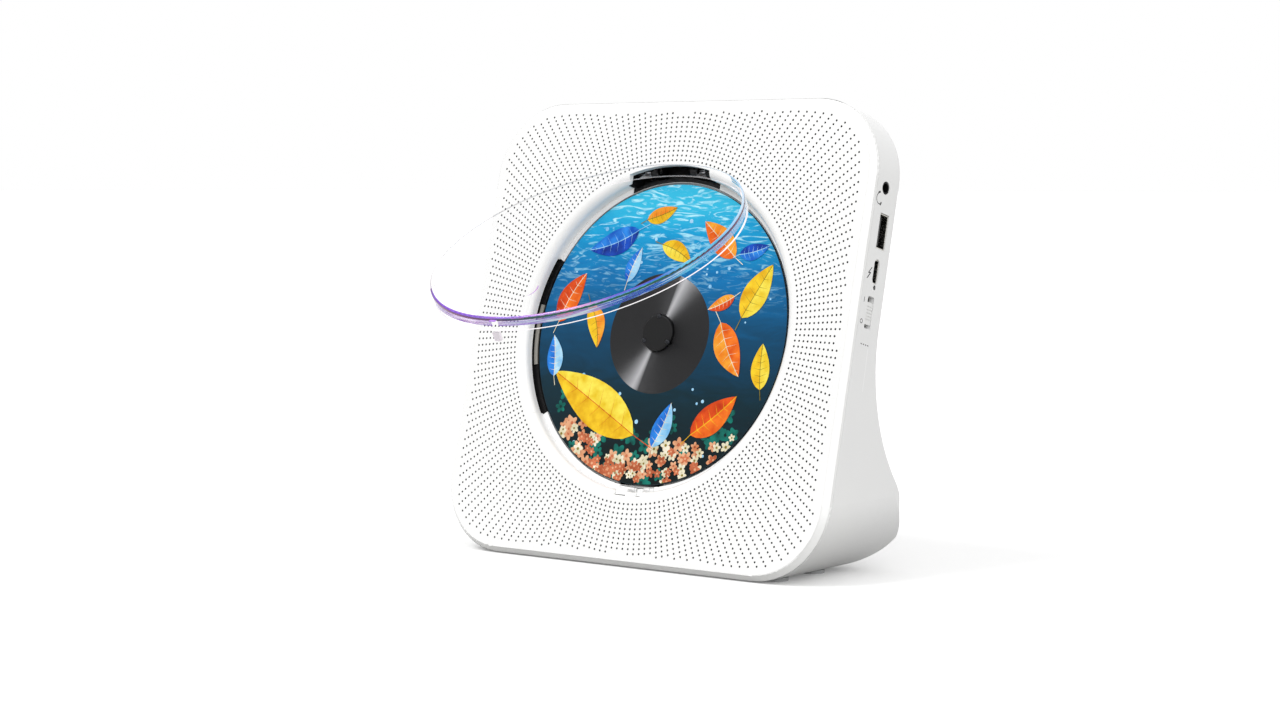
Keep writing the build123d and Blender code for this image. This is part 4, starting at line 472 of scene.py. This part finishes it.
def socket_shell(name, v, depth, length, width):
    """A stamped nickel-plated shell round a black moulded tongue, told apart by where the mouth is."""
    plate, wall = "#C9C6BF", 0.04
    material = metal(name, plate, 0.25, 0.4)
    tree = material.node_tree
    shader = next(n for n in tree.nodes if n.type == "BSDF_PRINCIPLED")
    back, rise = place_on(tree, (-OUT, UP))
    across = add(tree, "Math", {0: back, 1: depth, 2: width / 2 - wall}, operation="COMPARE")
    along = add(tree, "Math", {0: rise, 1: v, 2: length / 2 - wall}, operation="COMPARE")
    inner = add(tree, "Math", {0: across, 1: along}, operation="MULTIPLY")
    plating = add(tree, "Math", {0: 1.0, 1: inner}, operation="SUBTRACT")
    colour = add(tree, "Mix", {"Factor": inner, 6: linear(plate), 7: linear("#0C0C0D")},
                 data_type="RGBA").outputs[2]
    tree.links.new(colour, shader.inputs["Base Color"])
    tree.links.new(plating.outputs[0], shader.inputs["Metallic"])
    return material


def ink(name, low_hex, high_hex):
    """Screen-printed ink: flat and even, one shade running into a near one about every 5 mm."""
    material, tree = new_material(name)
    shader = add(tree, "BsdfPrincipled", {"Base Color": soft_mottle(tree, low_hex, high_hex, 5.0),
                                                    "Roughness": 0.3, "IOR": 1.25})
    add(tree, "OutputMaterial", {"Surface": shader})
    return material


# ------------------------ mesh helpers
def new_piece(name, points, faces, materials, indices=None):
    """A flat-shaded mesh object from points in metres; indices gives each face's material."""
    mesh = bpy.data.meshes.new(name)
    mesh.from_pydata([tuple(p) for p in points], [], faces)
    for material in materials:
        mesh.materials.append(material)
    if indices is not None:
        mesh.polygons.foreach_set("material_index", indices)
    mesh.validate()
    mesh.update()
    piece = bpy.data.objects.new(name, mesh)
    bpy.context.scene.collection.objects.link(piece)
    return piece


def paint(node, material):
    """Gives one of the carried-over pieces its finish."""
    mesh = NODES[node].data
    mesh.materials.clear()
    mesh.materials.append(material)


# ------------------------ front
def lattice_holes(sizes):
    """Centres of the front's holes in millimetres: rings of equal number, kept inside the plain border."""
    holes = []
    corner = sizes.field_corner
    rings = math.ceil((1.5 * sizes.field_half - sizes.first_ring) / sizes.ring_pitch)
    for ring in range(rings):
        radius = sizes.first_ring + ring * sizes.ring_pitch
        for spoke in range(sizes.spokes):
            angle = sizes.spoke_phase + 2 * math.pi * spoke / sizes.spokes
            x, v = radius * math.cos(angle), radius * math.sin(angle)
            dx, dv = abs(x) - (sizes.field_half - corner), abs(v) - (sizes.field_half - corner)
            if max(dx, dv) > corner or (dx > 0 and dv > 0 and math.hypot(dx, dv) > corner):
                continue
            holes.append((x, v))
    return holes


def wall_beside(normal, v):
    """Normal of the wall that the front's rolled edge runs into there, from the edge's own normal. The walls
    run square to the face above the disc's axis, and level below it. None on the flat face itself."""
    along = normal.cross(OUT)
    if along.length < 0.02:
        return None
    wall = along.cross(Vector((0.0, 1.0, 0.0)) if v < 0 else -OUT).normalized()
    return wall if wall.dot(normal) > 0 else -wall


def flatten_edge(mesh, normals, sizes):
    """Turns the front's rolled outer edge into a narrow flat bevel between the same two lines."""
    straight = sizes.half - sizes.corner
    nearest_in, deepest = sizes.half - sizes.edge_radius - 2.0, sizes.edge_radius + 0.5
    moves = {}
    for polygon in mesh.polygons:
        x, v, depth = on_face(polygon.center)
        reach = straight + math.hypot(max(abs(x) - straight, 0.0), max(abs(v) - straight, 0.0))
        corners = [normals[loop] for loop in polygon.loop_indices]
        rolled = any(a.dot(b) < 0.9995 for a, b in zip(corners, corners[1:]))
        walls = [wall_beside(normal, v) for normal in corners]
        known = [i for i, wall in enumerate(walls) if wall is not None]
        if reach < nearest_in or depth > deepest or not rolled or not known:
            continue
        places = [mesh.vertices[vertex].co for vertex in polygon.vertices]
        for i, (vertex, loop) in enumerate(zip(polygon.vertices, polygon.loop_indices)):
            nearest = min(known, key=lambda k: (places[k] - places[i]).length)
            bevel = (OUT + walls[nearest]).normalized()
            rise = max(corners[i].dot(bevel) - OUT.dot(bevel), 0.0)
            moves[vertex] = places[i] - bevel * rise * sizes.edge_radius * MM
            normals[loop] = bevel
    for vertex, place in moves.items():
        mesh.vertices[vertex].co = place


def split_front(source, name):
    """Copies the plain front without its flat face, and gives that face's outline loops in millimetres."""
    piece = bpy.data.objects.new(name, source.data.copy())
    bpy.context.scene.collection.objects.link(piece)
    mesh = piece.data
    normals = [Vector(n.vector) for n in mesh.corner_normals]
    flatten_edge(mesh, normals, bpy.context.scene.player_front)
    flat = [p.index for p in mesh.polygons
            if all(abs(on_face(mesh.vertices[i].co)[2]) < 0.01 for i in p.vertices)]
    drop = set(flat)
    kept = [normals[c] for p in mesh.polygons if p.index not in drop for c in p.loop_indices]
    bm = bmesh.new()
    bm.from_mesh(mesh)
    bm.faces.ensure_lookup_table()
    faces = [bm.faces[i] for i in flat]
    rim = {}
    for face in faces:
        corners = [v.co.to_tuple(7) for v in face.verts]
        for a, b in zip(corners, corners[1:] + corners[:1]):
            if (b, a) in rim:
                del rim[(b, a)]
            else:
                rim[(a, b)] = True
    bmesh.ops.delete(bm, geom=faces, context="FACES_ONLY")
    bm.to_mesh(mesh)
    bm.free()
    mesh.normals_split_custom_set(kept)
    following = {a: b for a, b in rim}
    loops = []
    while following:
        start, step = next(iter(following.items()))
        loop = [start]
        while step != start:
            loop.append(step)
            step = following[step]
        for key in loop:
            following.pop(key, None)
        loops.append([on_face(p)[:2] for p in loop])
    return piece, loops


def inside(loop, x, v):
    """Whether a closed outline goes round a point, by the crossings to its right."""
    hit = False
    for (x0, v0), (x1, v1) in zip(loop, loop[1:] + loop[:1]):
        if (v0 > v) != (v1 > v) and x < (x1 - x0) * (v - v0) / (v1 - v0) + x0:
            hit = not hit
    return hit


def window_lip(sizes):
    """The rim's rounded lip carried on over the dark strip, which lies in the groove behind it."""
    hole, rounding, wall = sizes.hole_edge, sizes.edge_rounding, sizes.window_wall
    first = math.acos((hole + rounding - wall) / rounding)
    arcs, steps = 6, 60
    profile = []
    for i in range(arcs + 1):
        turn = first * (1 - i / arcs)
        profile.append((hole + rounding * (1 - math.cos(turn)), rounding * (1 - math.sin(turn))))
    profile += [(hole, sizes.lip_end), (wall, sizes.lip_end)]
    points, faces = [], []
    for i in range(steps + 1):
        angle = sizes.window_start + (sizes.window_end - sizes.window_start) * i / steps
        points += [at(r * math.cos(angle), r * math.sin(angle), depth) for r, depth in profile]
    row = len(profile)
    for i in range(steps):
        a, b = i * row, (i + 1) * row
        faces += [(a + j, a + j + 1, b + j + 1, b + j) for j in range(row - 1)]
    faces += [tuple(reversed(range(row))), tuple(range(steps * row, (steps + 1) * row))]
    return points, faces


def perforated_face(loops, holes, sizes):
    """The flat face triangulated round its holes, with each hole's wall and dark end behind it. The dark end,
    just behind the face, is partly the black cloth behind the front and partly painted shade for the hole's
    deeper wall.
    """
    points, edges, owner = [], [], []
    for number, loop in enumerate(loops):
        start = len(points)
        points += loop
        owner += [-1 - number] * len(loop)
        edges += [(start + i, start + (i + 1) % len(loop)) for i in range(len(loop))]
    sides = sizes.hole_sides
    starts = []
    for number, (x, v) in enumerate(holes):
        start = len(points)
        starts.append(start)
        turn = math.atan2(v, x)
        points += [(x + sizes.hole_radius * math.cos(turn + 2 * math.pi * i / sides),
                    v + sizes.hole_radius * math.sin(turn + 2 * math.pi * i / sides)) for i in range(sides)]
        owner += [number] * sides
        edges += [(start + i, start + (i + 1) % sides) for i in range(sides)]
    flat = delaunay_2d_cdt([Vector(p) for p in points], edges, [], 0, 1e-6)
    verts, triangles, origin = flat[0], flat[2], flat[3]
    owners = [owner[o[0]] if o else None for o in origin]
    faces = []
    for a, b, c in triangles:
        same = owners[a] == owners[b] == owners[c]
        if same and owners[a] is not None and owners[a] >= 0:
            continue
        if same:
            middle = (verts[a] + verts[b] + verts[c]) / 3
            if sum(inside(loop, middle.x, middle.y) for loop in loops) % 2 == 0:
                continue
        faces.append((a, b, c))
    places = [at(p.x, p.y, 0.0) for p in verts]
    back = {o[0]: i for i, o in enumerate(origin) if o}
    indices = [0] * len(faces)
    for start in starts:
        ring = [back[start + i] for i in range(sides)]
        # Each hole's dark end sits just behind the face in the cloth's black: partly the cloth, partly
        # painted shade of the hole's wall.
        deep = len(places)
        places += [at(verts[i].x, verts[i].y, sizes.hole_depth) for i in ring]
        faces += [(ring[i], ring[(i + 1) % sides], deep + (i + 1) % sides, deep + i) for i in range(sides)]
        faces.append(tuple(deep + i for i in range(sides)))
        indices += [0] * sides + [1]
    return places, faces, indices


class FrontSizes(bpy.types.PropertyGroup):
    """Sizes of the front, its edges and the holes in it, in millimetres."""
    half: mm("Front", "Half the front's width", 92.7)
    corner: mm("Front corner", "Corner radius of the front", 30.0)
    edge_radius: mm("Edge radius", "Radius of the rolled outer edge", 2.2)
    spokes: IntProperty(name="Holes in a ring", description="How many holes each ring has", default=202)
    first_ring: mm("First ring", "Radius of the innermost ring of holes", 68.31)
    ring_pitch: mm("Ring pitch", "From one ring to the next", 1.926)
    spoke_phase: FloatProperty(name="Turn", description="Turn of the whole pattern", default=0.012,
                               unit="ROTATION")
    hole_radius: mm("Hole radius", "Radius of one hole", 0.45)
    hole_sides: IntProperty(name="Hole sides", description="Sides of each hole's polygon", default=8)
    hole_depth: mm("Hole depth", "Straight wall before the dark", 0.2)
    field_half: mm("Field", "Half the width of the perforated field", 87.5)
    field_corner: mm("Field corner", "Corner radius of the field", 24.8)
    hole_edge: mm("Well hole", "Radius of the front's hole", 63.0)
    edge_rounding: mm("Edge rounding", "Rounding of that hole's edge", 3.0)
    window_wall: mm("Window wall", "Radius of the notch for the dark strip", 64.55)
    window_start: FloatProperty(name="Window start", description="Where the notch starts",
                                default=math.radians(153.0), unit="ROTATION")
    window_end: FloatProperty(name="Window end", description="Where the notch ends",
                              default=math.radians(213.5), unit="ROTATION")
    lip_end: mm("Lip end", "Depth at which the lip over the strip ends", 4.6)


class PLAYER_OT_front(bpy.types.Operator):
    """The white front with its rings of fine holes"""
    bl_idname = "player.front"
    bl_label = "Perforated front"

    def execute(self, context):
        sizes = context.scene.player_front
        # The cloth's black also serves as painted shade at the end of each hole.
        white, cloth_and_painted_shade = MATERIALS["white_gloss"], MATERIALS["black_cloth"]
        shell, loops = split_front(NODES["front_panel"], "front_rim_and_well")
        shell.data.materials.clear()
        shell.data.materials.append(white)
        places, faces, indices = perforated_face(loops, lattice_holes(sizes), sizes)
        face = new_piece("front_perforated_face", places, faces, [white, cloth_and_painted_shade], indices)
        lip = new_piece("front_window_lip", *window_lip(sizes), [white])
        for polygon in lip.data.polygons:
            polygon.use_smooth = len(polygon.vertices) == 4
        lip.data.set_sharp_from_angle(angle=math.radians(40.0))
        for piece in (shell, face, lip):
            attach(piece, "base")
        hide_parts("front_panel")
        return {"FINISHED"}


# ------------------------ disc print
class PrintSizes(bpy.types.PropertyGroup):
    """Sizes of the disc's printed picture, in millimetres."""
    outer: mm("Print radius", "Outer radius of the print", 59.7)
    inner: mm("Bare middle", "Radius of the bare middle", 24.2)
    depth: mm("Print depth", "Disc's printed side behind the front face", 5.7)
    lift: mm("Print lift", "Gap under the first layer of ink", 0.012)
    layer: mm("Ink", "Thickness of one layer of ink", 0.0006)
    seed: IntProperty(name="Seed", description="Which scatter of florets is drawn", default=7)


def leaf_outline(length, width, bend, steps=14):
    """Right and left edges and midrib of a pointed leaf that lies along its own first axis."""
    rib, left, right = [], [], []
    for i in range(steps + 1):
        t = i / steps
        x = length * (t - 0.5)
        y = bend * (1 - (2 * t - 1) ** 2)
        half = width / 2 * math.sin(math.pi * t ** 0.8) ** 0.85
        rib.append((x, y))
        left.append((x, y + half))
        right.append((x, y - half))
    return rib, left, right


class Print:
    """Flat printed shapes, each layer a hair above the last, clipped to the printed ring."""

    def __init__(self, sizes, inks):
        self.sizes, self.inks, self.names = sizes, inks, list(inks)
        self.points, self.faces, self.indices, self.layer = [], [], [], 0

    def shape(self, outline, name):
        """One convex or gently curved shape in the present layer, clipped at the bare middle and edge."""
        depth = self.sizes.depth - self.sizes.lift - self.sizes.layer * self.layer
        clipped = []
        for x, v in outline:
            radius = math.hypot(x, v)
            limit = min(max(radius, self.sizes.inner), self.sizes.outer)
            clipped.append((x * limit / radius, v * limit / radius))
        if len({(round(x, 2), round(v, 2)) for x, v in clipped}) < 3:
            return
        start = len(self.points)
        self.points += [at(x, v, depth) for x, v in clipped]
        self.faces.append(tuple(range(start, start + len(clipped))))
        self.indices.append(self.names.index(name))

    def leaf(self, x, v, length, width, angle, dark, light, rib_ink, bend):
        """A leaf in three layers: its two halves, its midrib with the stalk, and its veins."""
        turn = math.radians(angle)
        stalk_share, vein_share, thick, thin, vein = 0.22, 0.85, 0.16, 0.12, 0.22

        def place(points):
            return [(x + a * math.cos(turn) - b * math.sin(turn), v + a * math.sin(turn) + b * math.cos(turn))
                    for a, b in points]
        rib, left, right = leaf_outline(length, width, bend)
        for i in range(len(rib) - 1):
            for side, name in ((left, dark), (right, light)):
                quad = [rib[i], rib[i + 1], side[i + 1], side[i]]
                self.shape(place(quad if side is right else quad[::-1]), name)
        self.layer += 1
        stalk = [(rib[0][0] - stalk_share * length, rib[0][1] - 0.5)] + rib
        for (ax, ay), (bx, by) in zip(stalk, stalk[1:]):
            self.shape(place([(ax, ay - thick), (bx, by - thin), (bx, by + thin), (ax, ay + thick)]), rib_ink)
        self.layer += 1
        for i in range(2, len(rib) - 2, 2):
            for side in (left, right):
                (ax, ay), (bx, by) = rib[i], side[i + 1]
                tip = (ax + vein_share * (bx - ax), ay + vein_share * (by - ay))
                self.shape(place([(ax, ay), (ax + vein, ay), tip]), rib_ink)
        self.layer += 1

    def floret(self, x, v, size, petals, ink_name, heart, turn):
        """Oval petals round a small heart, all as shares of the floret's size."""
        reach, long_half, short_half, heart_radius = 0.5, 0.46, 0.3, 0.22
        for i in range(petals):
            angle = turn + 2 * math.pi * i / petals
            cos, sin = math.cos(angle), math.sin(angle)
            ovals = [(reach + long_half * math.cos(t), short_half * math.sin(t))
                     for t in [2 * math.pi * k / 12 for k in range(12)]]
            self.shape([(x + size * (a * cos - b * sin), v + size * (a * sin + b * cos)) for a, b in ovals],
                       ink_name)
        self.layer += 1
        self.disk(x, v, size * heart_radius, heart)

    def disk(self, x, v, radius, ink_name, steps=16):
        """A round dot in a new layer."""
        self.layer += 1
        turns = [2 * math.pi * k / steps for k in range(steps)]
        self.shape([(x + radius * math.cos(t), v + radius * math.sin(t)) for t in turns], ink_name)


def draw_print(sizes, inks):
    """Leaves and bubbles drifting over water above a bank of florets."""
    art = Print(sizes, inks)
    chance = random.Random(sizes.seed)
    navy, sky = ("deep_blue", "mid_blue", "pale_blue"), ("mid_blue", "pale_blue", "cream")
    gold, sun_gold = ("yellow", "lemon", "olive"), ("amber", "yellow", "olive")
    flame, russet = ("orange", "amber", "cream"), ("red_orange", "orange", "cream")
    # Each leaf's middle, length and width in mm, its turn in degrees, and the inks of its halves and ribs.
    leaves = [
        (-29, 37, 25, 10.5, 200, *navy), (23, 38, 22, 10, 140, *flame), (-46, 13, 23, 10.5, 62, *russet),
        (44, 18, 24, 11.5, 62, *gold), (-7, 48, 15, 6.5, 20, *sun_gold), (3, 32, 17, 7.5, 335, *gold),
        (-33, 2, 19, 8.5, 290, *sun_gold), (35, -5, 24, 11.5, 300, *flame), (51, -11, 18, 8.5, 95, *gold),
        (-17, 27, 15, 6.5, 70, *sky), (32, -31, 25, 11.5, 40, "red_orange", "orange", "yellow"),
        (-27, -29, 50, 18.5, 152, "yellow", "lemon", "red_orange"), (8, -36, 19, 8.5, 70, *sky),
        (40, 34, 14, 6.5, 15, *navy), (-51, -11, 17, 8, 100, *sky),
        (28, 13, 13, 5.5, 205, "red_orange", "amber", "cream")]
    bubbles = 34
    for _ in range(bubbles):
        angle, radius = chance.uniform(0, 2 * math.pi), chance.uniform(27, 57)
        art.disk(radius * math.cos(angle), radius * math.sin(angle), chance.uniform(0.3, 0.9), "pale_blue",
                 steps=10)
    # Each bank of florets: petals, heart, its top in mm up the face, a floret's size in mm, how many.
    banks = (("teal", "dark_teal", -36, 5.5, 46), ("peach", "coral", -45, 4.4, 54),
             ("cream", "olive", -47, 3.6, 64), ("coral", "peach", -50, 3.4, 60))
    for petal, heart, top, size, count in banks:
        for _ in range(count):
            x = chance.uniform(-44, 44)
            v = chance.uniform(-59.5, top + 0.006 * x * x + 4 * math.sin(x / 7.0))
            if math.hypot(x, v) < sizes.outer:
                art.floret(x, v, size * chance.uniform(0.45, 0.75), 5, petal, heart, chance.uniform(0, 1.2))
    for leaf in leaves:
        art.leaf(*leaf, bend=chance.uniform(-1.2, 1.6))
    return art


class PLAYER_OT_disc(bpy.types.Operator):
    """The disc and the leaves and florets printed on it"""
    bl_idname = "player.disc"
    bl_label = "Printed disc"

    def execute(self, context):
        sizes = context.scene.player_print
        colours = {"deep_blue": ("#08257A", "#1650C4"), "mid_blue": ("#0E4FB8", "#2F8FEA"),
                   "pale_blue": ("#6FB4E4", "#B9E2F6"), "orange": ("#D64A08", "#F98024"),
                   "amber": ("#E87410", "#F9B23A"), "red_orange": ("#B42C06", "#EE5A1A"),
                   "yellow": ("#D89A04", "#FAD22A"), "lemon": ("#E8C018", "#FBEA5A"),
                   "olive": ("#6E5E10", "#9A882A"), "cream": ("#CFC49A", "#F6EFDA"),
                   "peach": ("#C87C50", "#F0BC94"), "coral": ("#9E4626", "#DE8058"),
                   "teal": ("#043C3A", "#128070"), "dark_teal": ("#021E20", "#0A4744")}
        inks = {name: ink("screen_ink_" + name, *pair) for name, pair in colours.items()}
        art = draw_print(sizes, inks)
        piece = new_piece("disc_print", art.points, art.faces, list(inks.values()), art.indices)
        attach(piece, "disc_stack")
        paint("disc", MATERIALS["printed_disc"])
        return {"FINISHED"}


# ------------------------ finishes of the carried-over pieces
class PLAYER_OT_finishes(bpy.types.Operator):
    """The material of each piece that keeps its own shape"""
    bl_idname = "player.finishes"
    bl_label = "Finishes"

    def execute(self, context):
        slots = {s["node"]: s["material_slot"] for s in frame["record"]["subparts"]}
        for node in NODES:
            if node not in ("front_panel", "disc"):
                paint(node, MATERIALS[slots[node]])
        paint("housing", MATERIALS["marked_white"])
        paint("hub_balls", MATERIALS["blued_steel"])
        for socket in SOCKETS:
            paint(socket, MATERIALS[socket])
        return {"FINISHED"}


# ------------------------ socket contacts
class ContactSizes(bpy.types.PropertyGroup):
    """The four contacts in the larger socket, in millimetres."""
    end: mm("Contact end", "Outer end, right of the disc's axis", 90.9)
    width: mm("Contact width", "Width of one contact", 1.0)
    length: mm("Contact length", "Length of one contact", 6.0)
    slope: mm("Contact slope", "Length of the slope at each end", 0.6)
    rise: mm("Contact rise", "How far a contact stands off its tongue", 0.15)


class PLAYER_OT_contacts(bpy.types.Operator):
    """The four sprung contacts on the tongue of the larger socket"""
    bl_idname = "player.contacts"
    bl_label = "Socket contacts"

    def execute(self, context):
        sizes = context.scene.player_contacts
        _, middle, tongue, _, _ = SOCKETS["usb_a_socket"]
        tip, half = 0.02, sizes.width / 2
        near, far = sizes.end - sizes.slope, sizes.end - sizes.length
        ends = ((sizes.end, tip), (near, sizes.rise), (far, sizes.rise), (far - sizes.slope, tip))
        points, faces = [], []
        for v in (middle - 3.5, middle - 1.0, middle + 1.0, middle + 3.5):
            start = len(points)
            for x, rise in ends:
                points += [at(x, v + side, tongue - lift) for lift in (rise, 0.0) for side in (-half, half)]
            for a in range(start, start + 12, 4):
                b = a + 4
                faces += [(a, a + 1, b + 1, b), (a + 1, a + 3, b + 3, b + 1), (a + 2, a, b, b + 2)]
        contacts = new_piece("socket_contacts", points, faces, [MATERIALS["contact_gold"]])
        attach(contacts, "base")
        return {"FINISHED"}


# ------------------------ stage
class StageSizes(bpy.types.PropertyGroup):
    """Light and background."""
    lens: mm("Lens", "Focal length over a 36 mm wide sensor", 71.64)
    paper: FloatVectorProperty(name="Paper", description="Colour of the floor and backdrop as seen",
                               subtype="COLOR", size=4, default=linear("#FFFFFF"))
    bounce: FloatVectorProperty(name="Bounce", description="Colour the floor throws on the player",
                                subtype="COLOR", size=4, default=linear("#8C8C8A"))
    fill: FloatProperty(name="Fill", description="Strength of the light from all round", default=0.78)
    key: FloatProperty(name="Key", description="Strength of the main lamp, upper left", default=1.15)
    side: FloatProperty(name="Side", description="Strength of the broad lamp on the right", default=1.3)
    glow: FloatProperty(name="Glow", description="Part of the floor's white that shadows don't dim",
                        default=0.12)


def sun(name, towards, strength, spread_deg):
    """A lamp so far off that it lights the whole floor evenly; spread softens its shadow."""
    data = bpy.data.lights.new(name, "SUN")
    data.energy = strength
    data.angle = math.radians(spread_deg)
    lamp = bpy.data.objects.new(name, data)
    bpy.context.scene.collection.objects.link(lamp)
    lamp.rotation_euler = Vector(towards).to_track_quat("Z", "Y").to_euler()
    return lamp


def seen_directly(tree):
    """One for rays that show the stage itself: from the camera, or through a reflection or clear plastic."""
    path = add(tree, "LightPath")
    either = add(tree, "Math", {0: path.outputs["Is Camera Ray"], 1: path.outputs["Is Glossy Ray"]},
                 operation="MAXIMUM")
    return add(tree, "Math", {0: either, 1: path.outputs["Is Transmission Ray"]}, operation="MAXIMUM")


def backdrop_paper(sizes):
    """Matt backdrop paper: seen as its own white with the player's shadow on it, it throws back less light
    than it shows, so that the player's underside stays dark."""
    material, tree = new_material("backdrop_paper_white")
    lit = add(tree, "BsdfDiffuse", {"Color": tuple(sizes.paper)})
    glow = add(tree, "Emission", {"Color": tuple(sizes.paper), "Strength": sizes.glow})
    shown = add(tree, "AddShader", {0: lit, 1: glow})
    thrown = add(tree, "BsdfDiffuse", {"Color": tuple(sizes.bounce)})
    mix = add(tree, "MixShader", {0: seen_directly(tree), 1: thrown, 2: shown})
    add(tree, "OutputMaterial", {"Surface": mix})
    return material


class PLAYER_OT_stage(bpy.types.Operator):
    """The floor, lamps, background and camera"""
    bl_idname = "player.stage"
    bl_label = "Stage"

    def execute(self, context):
        sizes = context.scene.player_stage
        camera = bpy.data.objects.new("camera", bpy.data.cameras.new("camera"))
        context.scene.collection.objects.link(camera)
        camera.data.lens = sizes.lens
        camera.data.sensor_width = 36.0
        camera.data.clip_start = 0.01
        from_face, looking = Vector((605.56, -783.43, 57.90)), Vector((-0.6133, 0.7868, -0.0699))
        camera.location = FACE + from_face * MM
        camera.rotation_euler = looking.normalized().to_track_quat("-Z", "Y").to_euler()
        context.scene.camera = camera

        far = 30.0     # metres, so that the floor's edge is out of sight
        floor = new_piece("floor", [(-far, -far, 0), (far, -far, 0), (far, far, 0), (-far, far, 0)],
                          [(0, 1, 2, 3)], [backdrop_paper(sizes)])
        world = bpy.data.worlds.new("studio")
        context.scene.world = world
        world.use_nodes = True
        tree = world.node_tree
        tree.nodes.clear()
        room = add(tree, "Background", {"Color": (1.0, 1.0, 1.0, 1.0), "Strength": sizes.fill})
        backdrop = add(tree, "Background", {"Color": tuple(sizes.paper), "Strength": 1.0})
        mix = add(tree, "MixShader", {0: seen_directly(tree), 1: room, 2: backdrop})
        add(tree, "OutputWorld", {"Surface": mix})
        sun("key", towards=(-0.34, -0.5, 0.74), strength=sizes.key, spread_deg=25.0)
        sun("side", towards=(0.75, -0.6, 0.28), strength=sizes.side, spread_deg=60.0)
        return {"FINISHED"}


class PLAYER_PT_panel(bpy.types.Panel):
    """Lists the steps and their sizes"""
    bl_label = "Disc player"
    bl_idname = "PLAYER_PT_panel"
    bl_space_type = "VIEW_3D"
    bl_region_type = "UI"
    bl_category = "Disc Player"

    def draw(self, context):
        layout = self.layout
        for operator in OPERATORS:
            layout.operator(operator.bl_idname)
        for group in GROUPS:
            box = layout.box()
            settings = getattr(context.scene, group)
            for name in settings.bl_rna.properties.keys():
                if name not in ("rna_type", "name"):
                    box.prop(settings, name)


GROUPS = {"player_cover": CoverSizes, "player_front": FrontSizes, "player_print": PrintSizes,
          "player_contacts": ContactSizes, "player_stage": StageSizes}
OPERATORS = (PLAYER_OT_stage, PLAYER_OT_finishes, PLAYER_OT_front, PLAYER_OT_disc, PLAYER_OT_contacts)
MATERIALS = {}


def register():
    """Tells Blender of the sizes, the steps and the panel."""
    for group in GROUPS.values():
        bpy.utils.register_class(group)
    for name, group in GROUPS.items():
        setattr(bpy.types.Scene, name, bpy.props.PointerProperty(type=group))
    for operator in OPERATORS:
        bpy.utils.register_class(operator)
    bpy.utils.register_class(PLAYER_PT_panel)


def unregister():
    """Takes them away again."""
    bpy.utils.unregister_class(PLAYER_PT_panel)
    for operator in reversed(OPERATORS):
        bpy.utils.unregister_class(operator)
    for name in GROUPS:
        delattr(bpy.types.Scene, name)
    for group in GROUPS.values():
        bpy.utils.unregister_class(group)


def main():
    """Makes every piece in order."""
    register()
    MATERIALS.update(make_materials())
    bpy.context.scene.view_settings.view_transform = "Standard"
    bpy.ops.player.stage()
    bpy.ops.player.finishes()
    bpy.ops.player.front()
    bpy.ops.player.disc()
    bpy.ops.player.contacts()


if __name__ == "__main__":
    main()
